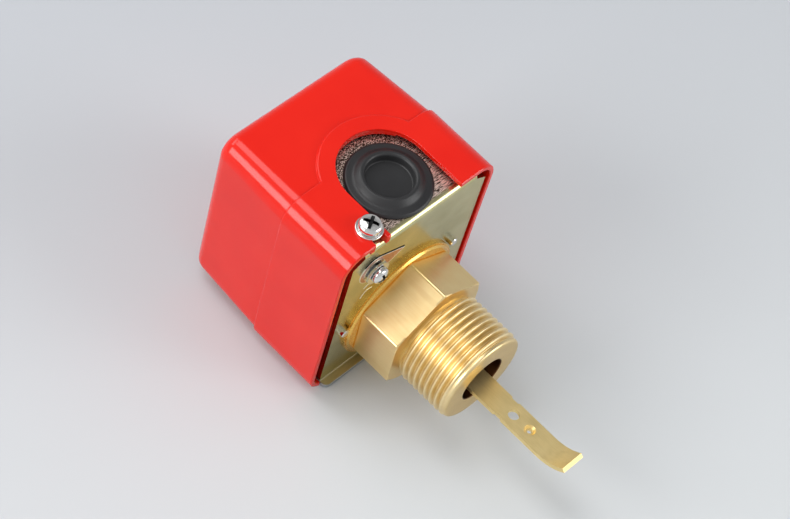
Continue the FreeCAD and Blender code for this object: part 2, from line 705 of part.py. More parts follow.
# ---------------------------------------------------------------- cover
def cover():
    """Two-tier moulded cover: shelled box with cable opening, arched boss, slot and back notch."""
    body = new_body("cover")
    wide, deep = D.cover_wide / 2, D.cover_deep / 2
    inset = D.crown_inset
    wall = D.cover_wall

    def box_at(name, level, trim, radius):
        sketch = new_sketch(body, name, "XZ_Plane", level)
        draw_rounded_box(sketch, wide - trim, deep - trim, radius)
        return sketch

    pad(body, box_at("skirt_outline", D.lip_y, size(0), D.cover_corner), "skirt", D.skirt_len)
    low = box_at("crown_low_outline", D.step_y, inset, D.cover_corner)
    high = box_at("crown_high_outline", D.cover_top, inset + D.crown_lean, D.cover_top_corner)
    loft(body, low, high, "crown")
    fillet(body, "crown_edges", D.cover_edge,
           lambda edge: near(edge.BoundBox.YMin, D.cover_top) and near(edge.BoundBox.YMax, D.cover_top))
    face = deep
    boss_low = D.step_y - D.boss_overlap
    radius = D.boss_dia / 2
    chord = boss_low - D.opening_y
    reach = root(radius * radius - chord * chord)
    centre = D.entry_x + D.cover_x
    sketch = new_sketch(body, "boss_outline", "XY_Plane", face)
    right, left = (centre + reach, boss_low), (centre - reach, boss_low)
    arc = draw_arc(sketch, centre, D.opening_y, radius, right, left)
    line = draw_line(sketch, left, right)
    join(sketch, arc, 2, line, 1)
    join(sketch, line, 2, arc, 1)
    pad(body, sketch, "opening_boss", D.boss_depth, up=False)
    inside = D.cover_corner - wall
    cavity_low = D.step_y - D.boss_overlap
    pocket(body, box_at("skirt_cavity_outline", D.lip_y, wall, inside), "skirt_cavity",
           D.skirt_len - D.boss_overlap, up=True)
    low = box_at("crown_cavity_low", cavity_low, wall + inset, inside)
    high = box_at("crown_cavity_high", D.cover_top - wall, wall + inset + D.crown_lean,
                  D.cover_top_corner - wall)
    loft(body, low, high, "crown_cavity", cut=True)
    slot_x = D.cover_x - D.cover_screw_x
    half_pad = D.slot_pad_wide / 2
    sketch = new_sketch(body, "slot_pad_outline", "XY_Plane", face - wall)
    draw_box(sketch, slot_x - half_pad, D.lip_y, slot_x + half_pad, D.lip_y + D.slot_pad_long)
    gap = D.cover_face - D.flange_face - wall
    pad(body, sketch, "slot_pad", gap - D.fit_gap, up=False)
    sketch = new_sketch(body, "opening_round", "XY_Plane", face)
    draw_circle(sketch, centre, D.opening_y, D.opening_dia / 2)
    pocket(body, sketch, "opening_arch", wall * 3)
    sketch = new_sketch(body, "opening_gate_outline", "XY_Plane", face)
    half = D.opening_dia / 2
    draw_box(sketch, centre - half, D.lip_y - D.cut_past, centre + half, D.opening_y)
    pocket(body, sketch, "opening_gate", wall * 3)
    sketch = new_sketch(body, "slot_round", "XY_Plane", face)
    draw_circle(sketch, slot_x, D.cover_screw_y, D.screw_slot / 2)
    pocket(body, sketch, "slot_end", wall * 3)
    sketch = new_sketch(body, "slot_gate_outline", "XY_Plane", face)
    half = D.screw_slot / 2
    draw_box(sketch, slot_x - half, D.lip_y - D.cut_past, slot_x + half, D.cover_screw_y)
    pocket(body, sketch, "slot_gate", wall * 3)
    sketch = new_sketch(body, "back_notch_outline", "XY_Plane", -deep)
    draw_box(sketch, D.cover_x - D.base_left - D.notch_side, D.lip_y - D.cut_past,
             D.cover_x + D.base_right + D.notch_side, D.plate_top + D.notch_over)
    pocket(body, sketch, "back_notch", wall * 2, up=True)
    place(body, -D.cover_x, None, D.cover_z)
    return body


# ---------------------------------------------------------------- switch frame
def switch_frame():
    """Folded frame over the stem: web, two cheeks, two feet and the range screw tab."""
    body = new_body("switch_frame")
    base, top = D.plate_top, D.frame_top_y
    web = D.frame_web
    sketch = new_sketch(body, "web_outline", "XY_Plane", web)
    draw_box(sketch, -D.cheek_out, base, D.cheek_out, D.tab_top)
    pad(body, sketch, "frame_web_pad", D.sheet)
    back = web + D.sheet
    arm = base + D.frame_arm_rise
    for side, level in (("left", -D.cheek_out), ("right", D.cheek_in)):
        sketch = new_sketch(body, f"{side}_cheek_outline", "YZ_Plane", level)
        draw_polygon(sketch, [
            (base, -D.frame_back), (base, back), (top, back), (top, -D.frame_arm_back),
            (arm, -D.frame_arm_back), (arm - D.frame_arm_back + D.frame_back, -D.frame_back)])
        pad(body, sketch, f"{side}_cheek", D.sheet)
    half = D.foot_wide / 2
    feet = (("left", -D.left_screw_x - D.foot_past, D.left_screw_z, -D.cheek_in),
            ("right", D.cheek_in, D.right_screw_z, D.right_screw_x + D.foot_past))
    for side, start, middle, end in feet:
        sketch = new_sketch(body, f"{side}_foot_outline", "XZ_Plane", base)
        draw_box(sketch, start, middle - half, end, middle + half)
        pad(body, sketch, f"{side}_foot", D.sheet)
    sketch = new_sketch(body, "tab_outline", "XZ_Plane", top)
    half = D.seat_side / 2 + D.sheet
    draw_box(sketch, -half, back - D.frame_tab, half, back)
    pad(body, sketch, "range_tab", D.sheet)
    sketch = new_sketch(body, "window_outline", "XY_Plane", back)
    draw_box(sketch, -D.window_wide / 2, base + D.window_rise, D.window_wide / 2,
             base + D.window_rise + D.window_len)
    pocket(body, sketch, "wire_window", D.sheet)
    sketch = new_sketch(body, "cheek_holes", "YZ_Plane", D.cheek_out)
    draw_circle(sketch, D.pivot_y, size(0), D.pin_dia / 2 + D.fit_gap)
    for step in range(2):
        z = D.mount_pitch * step - D.mount_back
        draw_circle(sketch, D.mount_y, z, D.m3_dia / 2 + D.fit_gap)
    pocket(body, sketch, "cheeks_drilled", D.cheek_out * 2)
    sketch = new_sketch(body, "tab_hole", "XZ_Plane", top)
    draw_circle(sketch, size(0), D.range_z, D.m4_dia / 2 + D.fit_gap)
    pocket(body, sketch, "tab_drilled", D.sheet, up=True)
    sketch = new_sketch(body, "foot_holes", "XZ_Plane", base)
    draw_circle(sketch, -D.left_screw_x, D.left_screw_z, D.m3_dia / 2 + D.fit_gap)
    draw_circle(sketch, D.right_screw_x, D.right_screw_z, D.m3_dia / 2 + D.fit_gap)
    pocket(body, sketch, "feet_drilled", D.sheet, up=True)
    return body


def frame_screws():
    """Two screws that hold the frame's feet on the base; their tips show below it."""
    seat = D.plate_top + D.sheet
    tip = D.plate_low - D.frame_screw_past
    places = (("frame_screw_left", -D.left_screw_x, D.left_screw_z),
              ("frame_screw_right", D.right_screw_x, D.right_screw_z))
    members = []
    for name, x, z in places:
        body = pan_screw(name, D.m3_dia, D.m3_head, D.m3_head_len, seat, tip)
        place(body, x, None, z)
        members.append(body)
    return group("frame_screws", members)


# ---------------------------------------------------------------- pivot and lever
def pivot_parts():
    """Pivot pin along X with its clip and the two spacer bushes."""
    core = D.pin_dia / 2
    head = -D.cheek_out - D.fit_gap
    end = D.cheek_out + D.pin_past
    slot = D.cheek_out + D.side_gap
    notch = D.clip_groove / 2
    pin = spin("pivot_pin", [
        (head - D.pin_head_len, size(0)), (head - D.pin_head_len, D.pin_head / 2),
        (head, D.pin_head / 2), (head, core), (slot, core), (slot, notch),
        (slot + D.clip_thick + D.fit_gap, notch), (slot + D.clip_thick + D.fit_gap, core),
        (end, core), (end, size(0))], "XY_Plane", "H_Axis")
    clip = ring("pivot_clip", notch + D.fit_gap, D.clip_dia / 2, slot, slot + D.clip_thick,
                axis="H_Axis")
    bushes = []
    inner = D.lever_head / 2 + D.side_gap
    outer = D.cheek_in - D.fit_gap
    for name, start, stop in (("pivot_bush_left", -outer, -inner), ("pivot_bush_right", inner, outer)):
        bushes.append(ring(name, core + D.fit_gap, D.bush_dia / 2, start, stop, axis="H_Axis"))
    for body in [pin, clip] + bushes:
        place(body, None, D.pivot_y, None)
    return [pin, clip, group("pivot_bushes", bushes)]


def lever_rod():
    """Turned lever: flatted rod end, thick cross-bored head and threaded stub."""
    body = new_body("lever_rod")
    head_low = D.pivot_y - D.lever_head_drop
    head_top = D.rocker_low
    sketch = new_sketch(body, "lever_profile", "XY_Plane")
    draw_polygon(sketch, [
        (size(0), -D.rod_end), (D.rod_dia / 2, -D.rod_end), (D.rod_dia / 2, head_low),
        (D.lever_head / 2, head_low), (D.lever_head / 2, head_top), (D.stub_dia / 2, head_top),
        (D.stub_dia / 2, head_top + D.stub_len), (size(0), head_top + D.stub_len)])
    revolve(body, sketch, "lever_turned")
    sketch = new_sketch(body, "lever_cross_hole", "YZ_Plane", D.lever_head)
    draw_circle(sketch, D.pivot_y, size(0), D.pin_dia / 2 + D.turn_gap)
    pocket(body, sketch, "lever_bored", D.lever_head * 2)
    sketch = new_sketch(body, "lever_flat_outline", "YZ_Plane", D.rod_dia)
    draw_box(sketch, -D.rod_end - D.cut_past, D.arm_top - D.rod_dia, D.arm_root + D.side_gap,
             D.arm_top)
    pocket(body, sketch, "lever_flat", D.rod_dia * 2)
    sketch = new_sketch(body, "lever_rivet_holes", "XY_Plane", D.rod_dia)
    for step in range(2):
        draw_circle(sketch, size(0), -D.rivet_at - D.rivet_pitch * step,
                    D.rivet_dia / 2 + D.fit_gap)
    pocket(body, sketch, "lever_riveted", D.rod_dia * 2)
    return body


def paddle_arm():
    """Flat brass arm out of the bore: notched edges, blade hole, dimple and curled tip."""
    body = new_body("paddle_arm")
    top, low = D.arm_top, D.arm_low
    turn_y, turn_z = -D.arm_straight, top + D.tip_radius
    outer = D.tip_radius + D.arm_thick
    start = D.arm_root
    inner_end = (turn_y - D.tip_radius * sine(D.tip_angle), turn_z - D.tip_radius * cosine(D.tip_angle))
    outer_end = (turn_y - outer * sine(D.tip_angle), turn_z - outer * cosine(D.tip_angle))
    half = D.arm_wide / 2
    sketch = new_sketch(body, "arm_side", "YZ_Plane", -half)
    upper = draw_arc(sketch, turn_y, turn_z, D.tip_radius, inner_end, (turn_y, top))
    lower = draw_arc(sketch, turn_y, turn_z, outer, outer_end, (turn_y, low))
    over = draw_line(sketch, (turn_y, top), (start, top))
    end = draw_line(sketch, (start, top), (start, low))
    under = draw_line(sketch, (start, low), (turn_y, low))
    tip = draw_line(sketch, outer_end, inner_end)
    for first, first_end, second, second_end in (
            (upper, 2, over, 1), (over, 2, end, 1), (end, 2, under, 1), (under, 2, lower, 2),
            (lower, 1, tip, 1), (tip, 2, upper, 1)):
        join(sketch, first, first_end, second, second_end)
    pin_point(sketch, over, 2, start, top)
    pin_point(sketch, end, 2, start, low)
    pad(body, sketch, "arm_strip", D.arm_wide)
    sketch = new_sketch(body, "arm_notches", "XY_Plane", top)
    for sign in (-1, 1):
        edge, depth = half * sign, (half - D.notch_depth) * sign
        past = (half + D.cut_past) * sign
        near_end, far_end = -D.notch_start, -D.notch_start - D.notch_len
        draw_polygon(sketch, [(past, near_end + D.notch_depth), (edge, near_end + D.notch_depth),
                              (depth, near_end), (depth, far_end),
                              (edge, far_end - D.notch_depth), (past, far_end - D.notch_depth)])
    draw_circle(sketch, size(0), -D.blade_hole_at, D.blade_hole_dia / 2)
    draw_circle(sketch, size(0), -D.dimple_at, D.dimple_hole / 2)
    for step in range(2):
        draw_circle(sketch, size(0), -D.rivet_at - D.rivet_pitch * step,
                    D.rivet_dia / 2 + D.fit_gap)
    pocket(body, sketch, "arm_cut", D.arm_thick)
    return body


def arm_dimple(body):
    """Sink the tapered dimple round the arm's small hole."""
    sketch = new_sketch(body, "dimple_outline", "XY_Plane", D.arm_top)
    draw_circle(sketch, size(0), -D.dimple_at, D.dimple_dia / 2)
    pocket(body, sketch, "dimple", D.dimple_depth, taper=-D.dimple_slope)
    return body


def arm_rivets():
    """Two rivets that hold the arm on the flat of the rod."""
    members = []
    low = D.arm_low
    for step, name in enumerate(("arm_rivet_upper", "arm_rivet_lower")):
        top = D.rod_dia / 2
        body = spin(name, [
            (size(0), low - D.rivet_head_len), (D.rivet_head / 2 - D.rivet_head_len / 2,
                                                low - D.rivet_head_len),
            (D.rivet_head / 2, low), (D.rivet_dia / 2, low), (D.rivet_dia / 2, top), (size(0), top)],
            "XZ_Plane")
        place(body, None, -D.rivet_at - D.rivet_pitch * step, None)
        members.append(body)
    return group("arm_rivets", members)


def rocker_plate():
    """Sheet rocker on the lever: spring arm towards +Z and switch arm towards -Z."""
    body = new_body("rocker_plate")
    half, front, hub = D.rocker_half, D.rocker_front, D.rocker_hub
    tail = D.rocker_tail / 2
    sketch = new_sketch(body, "rocker_outline", "XZ_Plane", D.rocker_low)
    draw_polygon(sketch, [
        (half, front), (half, -hub), (D.switch_x + tail, -hub), (D.switch_x + tail, -D.rocker_back),
        (D.switch_x - tail, -D.rocker_back), (D.switch_x - tail, -hub + D.rocker_shoulder),
        (-half, D.rocker_shoulder), (-half, front)])
    draw_circle(sketch, size(0), size(0), D.stub_dia / 2 + D.fit_gap)
    pad(body, sketch, "rocker_sheet", D.sheet)
    sketch = new_sketch(body, "spring_pip_outline", "XZ_Plane", D.rocker_top)
    draw_circle(sketch, size(0), D.range_z, D.pip_dia / 2)
    pad(body, sketch, "spring_pip", D.pip_len)
    return body


# ---------------------------------------------------------------- basic switch
def terminal_spots():
    """Z positions of the three terminals."""
    return [D.terminal_pitch * step - D.terminal_first for step in range(3)]


def switch_body():
    """Moulded case of the basic switch: terminal bays, barriers, plunger hole, mounting holes."""
    body = new_body("switch_body")
    left, right = -D.switch_left, D.switch_right
    back, front = -D.switch_back, D.switch_long - D.switch_back
    sketch = new_sketch(body, "case_outline", "XZ_Plane", D.switch_low)
    draw_box(sketch, left, back, right, front)
    pad(body, sketch, "case", D.switch_tall)
    fillet(body, "case_corners", D.switch_edge,
           lambda edge: near(edge.BoundBox.YLength, D.switch_tall, 0.1))
    spots = terminal_spots()
    for step in range(2):
        middle = (spots[step] + spots[step + 1]) / 2
        sketch = new_sketch(body, f"barrier_{step}_outline", "XZ_Plane", D.switch_top)
        draw_box(sketch, left, middle - D.barrier_thick / 2, right, middle + D.barrier_thick / 2)
        pad(body, sketch, f"barrier_{step}", D.barrier_tall)
    sketch = new_sketch(body, "plunger_hole", "XZ_Plane", D.switch_low)
    draw_circle(sketch, D.switch_x, -D.plunger_z, D.plunger_dia / 2 + D.turn_gap)
    pocket(body, sketch, "plunger_bored", D.plunger_inside + D.plunger_room, up=True)
    sketch = new_sketch(body, "mount_holes", "YZ_Plane", right)
    for step in range(2):
        draw_circle(sketch, D.mount_y, D.mount_pitch * step - D.mount_back,
                    D.m3_dia / 2 + D.fit_gap)
    pocket(body, sketch, "mounts_drilled", D.switch_wide)
    sketch = new_sketch(body, "terminal_holes", "XZ_Plane", D.switch_top)
    for z in spots:
        draw_circle(sketch, D.switch_x, z, D.m3_dia / 2 + D.fit_gap)
    pocket(body, sketch, "terminals_drilled", D.terminal_screw_deep + D.soft_gap)
    return body


def switch_terminals():
    """Terminal strips, clamp washers and screws, three of each."""
    strips, clamps, screws = [], [], []
    half = D.terminal_long / 2
    low = D.switch_top
    clamp_low = low + D.terminal_thick
    seat = clamp_low + D.clamp_thick
    hole = D.m3_dia / 2 + D.fit_gap
    for step, z in enumerate(terminal_spots()):
        strip = new_body(f"terminal_strip_{step}")
        sketch = new_sketch(strip, f"strip_{step}_outline", "XZ_Plane", low)
        draw_box(sketch, -half, -D.terminal_wide / 2, half, D.terminal_wide / 2)
        draw_circle(sketch, size(0), size(0), hole)
        pad(strip, sketch, f"strip_{step}_sheet", D.terminal_thick)
        clamp = new_body(f"terminal_clamp_{step}")
        sketch = new_sketch(clamp, f"clamp_{step}_outline", "XZ_Plane", clamp_low)
        side = D.clamp_side / 2
        draw_box(sketch, -side, -side, side, side)
        draw_circle(sketch, size(0), size(0), hole)
        pad(clamp, sketch, f"clamp_{step}_sheet", D.clamp_thick)
        screw = pan_screw(f"terminal_screw_{step}", D.m3_dia, D.m3_head, D.m3_head_len, seat,
                          low - D.terminal_screw_deep)
        for body, members in ((strip, strips), (clamp, clamps), (screw, screws)):
            place(body, D.switch_x, None, z)
            members.append(body)
    return [group("switch_terminals", strips), group("terminal_clamps", clamps),
            group("terminal_screws", screws)]


def switch_fixings():
    """Two screws with nuts that hold the switch on the left cheek, and the insulating sheet."""
    seat = -D.cheek_out
    nut_start = D.switch_right
    nut_end = nut_start + D.m3_nut_len
    screws, nuts = [], []
    for step in range(2):
        z = D.mount_pitch * step - D.mount_back
        screw = pan_screw(f"switch_screw_{step}", D.m3_dia, D.m3_head, D.m3_head_len, seat,
                          nut_end + D.tip_past, axis="H_Axis", sign=-1)
        nut = new_body(f"switch_nut_{step}")
        sketch = new_sketch(nut, f"switch_nut_{step}_hexagon", "YZ_Plane", nut_start)
        draw_polygon(sketch, hex_corners(D.m3_flats))
        draw_circle(sketch, size(0), size(0), D.m3_dia / 2 + D.fit_gap)
        pad(nut, sketch, f"switch_nut_{step}_pad", D.m3_nut_len)
        for body, members in ((screw, screws), (nut, nuts)):
            place(body, None, D.mount_y, z)
            members.append(body)
    sheet = new_body("insulating_sheet")
    sketch = new_sketch(sheet, "sheet_outline", "YZ_Plane", -D.cheek_in)
    past = D.sheet_past
    draw_box(sketch, D.switch_low - past, -D.switch_back - past / 2, D.switch_top + past,
             D.switch_long - D.switch_back + past)
    for step in range(2):
        draw_circle(sketch, D.mount_y, D.mount_pitch * step - D.mount_back,
                    D.m3_dia / 2 + D.fit_gap)
    pad(sheet, sketch, "sheet_pad", D.sheet_thick)
    return [group("switch_screws", screws), group("switch_nuts", nuts), sheet]


def switch_plunger():
    """Plunger of the basic switch, with a domed end on the rocker."""
    low = D.rocker_top + D.plunger_gap
    radius = D.plunger_dia / 2
    top = D.switch_low + D.plunger_inside
    body = new_body("switch_plunger")
    sketch = new_sketch(body, "plunger_profile", "XY_Plane")
    arc = draw_arc(sketch, size(0), low + radius, radius, (size(0), low), (radius, low + radius))
    side = draw_line(sketch, (radius, low + radius), (radius, top))
    over = draw_line(sketch, (radius, top), (size(0), top))
    axis = draw_line(sketch, (size(0), top), (size(0), low))
    for first, first_end, second, second_end in (
            (arc, 2, side, 1), (side, 2, over, 1), (over, 2, axis, 1), (axis, 2, arc, 1)):
        join(sketch, first, first_end, second, second_end)
    pin_point(sketch, side, 2, radius, top)
    pin_point(sketch, over, 2, size(0), top)
    revolve(body, sketch, "plunger_turned")
    place(body, D.switch_x, None, -D.plunger_z)
    return body


# ---------------------------------------------------------------- range adjuster
def range_parts():
    """Range screw with clip, spring seat nut and helical range spring."""
    bore = D.m4_dia / 2 + D.turn_gap
    tip = D.rocker_top + D.range_screw_end
    seat = D.tab_top + D.range_gap
    groove_top = D.frame_top_y - D.range_gap
    groove_low = groove_top - D.clip_thick
    notch = D.m4_dia / 2 - D.end_chamfer
    core, rim = D.m4_dia / 2, D.m4_head / 2
    top = seat + D.m4_head_len
    screw = spin("range_screw", [
        (size(0), tip), (core, tip), (core, groove_low - D.fit_gap), (notch, groove_low - D.fit_gap),
        (notch, groove_top), (core, groove_top), (core, seat), (rim, seat),
        (rim, top - D.head_dome), (rim - D.head_dome, top), (size(0), top)])
    clip = ring("range_clip", notch + D.fit_gap, D.clip_dia / 2, groove_low, groove_top - D.fit_gap)
    nut = new_body("spring_seat")
    sketch = new_sketch(nut, "seat_outline", "XZ_Plane", D.seat_low)
    half = D.seat_side / 2
    draw_box(sketch, -half, -half, half, half)
    draw_circle(sketch, size(0), size(0), bore)
    pad(nut, sketch, "seat_block", D.seat_len)
    fillet(nut, "seat_corners", D.switch_edge,
           lambda edge: near(abs(edge.CenterOfMass.x), half) and near(abs(edge.CenterOfMass.z), half))
    for body in (screw, clip, nut):
        place(body, None, None, D.range_z)
    return [screw, clip, nut, range_spring()]


def range_spring():
    """Helical compression spring between the rocker and the spring seat."""
    wire = D.wire_dia.value / 2
    coil = (D.spring_dia.value - D.wire_dia.value) / 2
    rise = D.spring_len.value - 2 * wire - 2 * D.range_gap.value
    helix = Part.makeHelix(rise / D.spring_turns.value, rise, coil)
    section = Part.Wire([Part.makeCircle(wire, V(coil, 0, 0), V(0, 1, 0))])
    spring = doc.addObject("Part::Feature", "range_spring")
    spring.Label = "range_spring"
    spring.Shape = Part.Wire(helix.Edges).makePipeShell([section], True, True)
    low = D.rocker_top.value + D.range_gap.value + wire
    turned = FreeCAD.Rotation(V(1, 0, 0), -90)
    spring.Placement = FreeCAD.Placement(V(0, low, D.range_z.value), turned)
    return spring


# ---------------------------------------------------------------- document
def build():
    """Make every sub-part and return them in order."""
    parts = [stem_body(), stem_collar(), stem_lock_nut(), bellows(), base_bracket(), cable_grommet()]
    parts += cover_fixings()
    parts += earth_fixings()
    parts += [cover(), switch_frame(), frame_screws()]
    parts += pivot_parts()
    parts += [lever_rod(), arm_dimple(paddle_arm()), arm_rivets(), rocker_plate()]
    parts.append(hex_nut("lever_nut", D.m4_flats, D.stub_dia, D.rocker_top, D.m4_nut_len))
    parts.append(switch_body())
    parts += switch_terminals()
    parts += switch_fixings()
    parts.append(switch_plunger())
    parts += range_parts()
    return parts


CUTS = ("PartDesign::Pocket", "PartDesign::Groove", "PartDesign::SubtractiveLoft")


def check(parts):
    """Stop if an object failed, a shape is bad or a cut removed nothing."""
    for thing in doc.Objects:
        if "Invalid" in thing.State or "Error" in thing.State:
            raise RuntimeError(f"{thing.Label}: {thing.State}")
        if thing.TypeId in CUTS:
            if thing.Shape.Volume > thing.BaseFeature.Shape.Volume - 0.01:
                raise RuntimeError(f"{thing.Label} removes nothing")
    for part in parts:
        if part.Shape.isNull() or not part.Shape.isValid() or not part.Shape.Solids:
            raise RuntimeError(f"{part.Label} has no valid solid")


doc.recompute()
made = build()
doc.recompute()
check(made)
os.makedirs("parts", exist_ok=True)
for item in made:
    item.Shape.exportStep(f"parts/{item.Label}.step")
    box = item.Shape.BoundBox
    print(f"{item.Label}: {len(item.Shape.Solids)} solid(s), volume {item.Shape.Volume:.1f}, "
          f"x {box.XMin:.2f}..{box.XMax:.2f} y {box.YMin:.2f}..{box.YMax:.2f} "
          f"z {box.ZMin:.2f}..{box.ZMax:.2f}")
print(len(made), "sub-parts written")
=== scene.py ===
"""Looks of a paddle flow switch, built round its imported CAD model.

Every length is in metres in the model's own frame: the stem lies along Y, the thread and
the paddle point to -Y, the cable entry faces +Z, and the cover lies on the floor on its back.
"""

import json
import logging
import math
from dataclasses import dataclass
from enum import Enum
from typing import Callable, Iterable, Sequence

import bmesh
import bpy
from mathutils import Matrix, Vector


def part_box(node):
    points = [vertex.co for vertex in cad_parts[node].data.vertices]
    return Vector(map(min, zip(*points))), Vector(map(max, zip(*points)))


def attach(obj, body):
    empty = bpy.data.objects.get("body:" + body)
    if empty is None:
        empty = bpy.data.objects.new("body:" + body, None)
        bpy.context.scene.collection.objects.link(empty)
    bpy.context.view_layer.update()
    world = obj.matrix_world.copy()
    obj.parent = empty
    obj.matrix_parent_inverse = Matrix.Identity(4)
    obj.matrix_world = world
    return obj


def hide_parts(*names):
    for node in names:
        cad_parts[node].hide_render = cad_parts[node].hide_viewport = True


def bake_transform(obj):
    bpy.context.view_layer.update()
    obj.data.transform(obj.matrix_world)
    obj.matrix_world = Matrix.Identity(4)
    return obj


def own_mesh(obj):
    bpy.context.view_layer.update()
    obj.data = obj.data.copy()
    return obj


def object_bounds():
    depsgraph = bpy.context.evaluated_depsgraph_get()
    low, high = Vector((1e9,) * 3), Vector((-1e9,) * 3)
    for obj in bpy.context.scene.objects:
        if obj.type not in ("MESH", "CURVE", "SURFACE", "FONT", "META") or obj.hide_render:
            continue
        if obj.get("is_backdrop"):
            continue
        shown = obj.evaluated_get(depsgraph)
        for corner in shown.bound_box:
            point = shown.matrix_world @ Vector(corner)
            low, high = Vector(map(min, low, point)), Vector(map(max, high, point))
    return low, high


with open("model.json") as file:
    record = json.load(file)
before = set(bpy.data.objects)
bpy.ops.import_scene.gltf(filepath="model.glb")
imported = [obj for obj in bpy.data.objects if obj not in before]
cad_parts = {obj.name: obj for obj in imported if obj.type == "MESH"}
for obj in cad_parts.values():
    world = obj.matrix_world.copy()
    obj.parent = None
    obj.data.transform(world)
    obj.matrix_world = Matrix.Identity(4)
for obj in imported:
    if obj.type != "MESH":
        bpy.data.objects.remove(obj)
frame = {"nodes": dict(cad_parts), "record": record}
log = logging.getLogger("flow_switch")

MM = 0.001
CIRCLE = 2 * math.pi
Colour = tuple[float, float, float]
Face = tuple[int, ...]
Point2 = tuple[float, float]
Point3 = tuple[float, float, float]
Profile = list[Point2]
Mesh = bpy.types.Mesh
Piece = bpy.types.Object
Socket = bpy.types.NodeSocket

finishes: dict[str, bpy.types.Material] = {}


class Body(Enum):
    """The bodies on which the pieces made here ride."""

    HOUSING = "housing"
    LEVER = "lever"
    SEAT = "seat"
    COVER = "cover_body"


class Facing(Enum):
    """Where a turned piece's upper end points, as its turn about X from +Y."""

    UP_STEM = 0.0
    OUT_OF_ENTRY = math.pi / 2
    DOWN_STEM = math.pi


# ---- finishes
class Graph:
    """A material under construction, with short calls for the nodes it needs."""

    def __init__(self, name: str, **values: float) -> None:
        """Start a material with one principled shader.

        Args:
            name: The material's name.
            values: Values of the shader's inputs, with spaces in their names as underscores.
        """
        material = finishes[name] = bpy.data.materials.new(name)
        material.use_nodes = True
        self.tree = material.node_tree
        self.shader = self.tree.nodes["Principled BSDF"]
        self.place = self.add("TexCoord", "Object", {})
        for key, value in values.items():
            self.shader.inputs[key.replace("_", " ")].default_value = value

    def add(self, kind: str, output: str | int, inputs: dict[str | int, object], **settings: str) -> Socket:
        """Add a node.

        Args:
            kind: Blender's name of the node type, without ShaderNode.
            output: The output that is wanted.
            inputs: An output, a number, a vector or a colour for each input.
            settings: The node's own properties.

        Returns:
            The wanted output.
        """
        node = self.tree.nodes.new("ShaderNode" + kind)
        for key, value in settings.items():
            setattr(node, key, value)
        for key, value in inputs.items():
            self.feed(node.inputs[key], value)
        return node.outputs[output]

    def feed(self, target: Socket, value: object) -> None:
        """Feed an input.

        Args:
            target: The input.
            value: An output to join to it, or a plain value.
        """
        if isinstance(value, Socket):
            self.tree.links.new(value, target)
        else:
            target.default_value = (*value, 1.0) if target.type == "RGBA" else value

    def noise(self, size: float, detail: float = 3.0, stretch: Point3 = (1, 1, 1)) -> Socket:
        """Return a noise of a grain size; a small stretch draws the grain out along that axis."""
        place = self.add("Mapping", "Vector", {"Vector": self.place, "Scale": stretch})
        return self.add("TexNoise", "Fac", {"Vector": place, "Scale": 1 / size, "Detail": detail})

    def span(self, value: Socket, low: float, high: float, start: float = 0.0, end: float = 1.0) -> Socket:
        """Map the range from low to high onto the one from start to end, clamped."""
        ends = {"From Min": low, "From Max": high, "To Min": start, "To Max": end}
        return self.add("MapRange", "Result", {"Value": value} | ends)

    def math(self, kind: str, first: Socket, second: Socket | float) -> Socket:
        """Combine two values by an operation."""
        return self.add("Math", 0, {0: first, 1: second}, operation=kind)

    def mix(self, share: Socket, first: Colour | Socket, second: Colour | Socket) -> Socket:
        """Mix two colours; the share is how much of the second one shows."""
        return self.add("Mix", 2, {0: share, 6: first, 7: second}, data_type="RGBA")

    def axes(self) -> Sequence[Socket]:
        """Return the object coordinates' X, Y and Z."""
        return self.add("SeparateXYZ", 0, {0: self.place}).node.outputs

    def finish(self, colour: Socket, rough: Socket | float, *bumps: tuple[Socket, float, float]) -> None:
        """Feed the shader.

        Args:
            colour: The base colour.
            rough: The roughness.
            bumps: Height, strength and depth in metres of each bump, stacked in order.
        """
        self.feed(self.shader.inputs["Base Color"], colour)
        self.feed(self.shader.inputs["Roughness"], rough)
        inputs: dict[str | int, object] = {}
        for height, strength, depth in bumps:
            inputs |= {"Height": height, "Strength": strength, "Distance": depth}
            inputs["Normal"] = self.add("Bump", "Normal", inputs)
        if bumps:
            self.feed(self.shader.inputs["Normal"], inputs["Normal"])


@dataclass(frozen=True)
class Metal:
    """A bare or plated metal with grain, uneven tone and fine marks."""

    name: str
    light: Colour
    dark: Colour
    gloss: Point2
    grain: float
    stretch: Point3 = (1.0, 1.0, 1.0)
    marks: float = 0.25
    depth: float = 0.02 * MM
    cloud: float = 6 * MM

    def build(self) -> None:
        """Make the material."""
        graph = Graph(self.name, Metallic=1.0)
        grain = graph.noise(self.grain, 4.0, self.stretch)
        tone = graph.math("ADD", graph.span(graph.noise(self.cloud, 2.0), 0.3, 0.7, 0.0, 0.6),
                          graph.span(grain, 0.35, 0.65, 0.0, 0.4))
        graph.finish(graph.mix(tone, self.dark, self.light), graph.span(grain, 0.3, 0.7, *self.gloss),
                     (grain, self.marks, self.depth))


@dataclass(frozen=True)
class Moulding:
    """A moulded plastic or rubber with a faint skin grain and, where waves is set, a wavy skin."""

    name: str
    light: Colour
    dark: Colour
    gloss: Point2
    grain: float
    marks: float = 0.2
    depth: float = 0.02 * MM
    waves: float = 0.0
    shine: float = 0.4
    cloud: float = 18 * MM
    wave_size: float = 12 * MM

    def build(self) -> None:
        """Make the material."""
        graph = Graph(self.name, Specular_IOR_Level=self.shine)
        grain = graph.noise(self.grain)
        bumps = [(grain, self.marks, self.depth)]
        if self.waves:
            bumps.append((graph.noise(self.wave_size, 1.0), 1.0, self.waves))
        tone = graph.span(graph.noise(self.cloud, 2.0), 0.3, 0.7)
        graph.finish(graph.mix(tone, self.dark, self.light), graph.span(grain, 0.3, 0.7, *self.gloss),
                     *bumps)


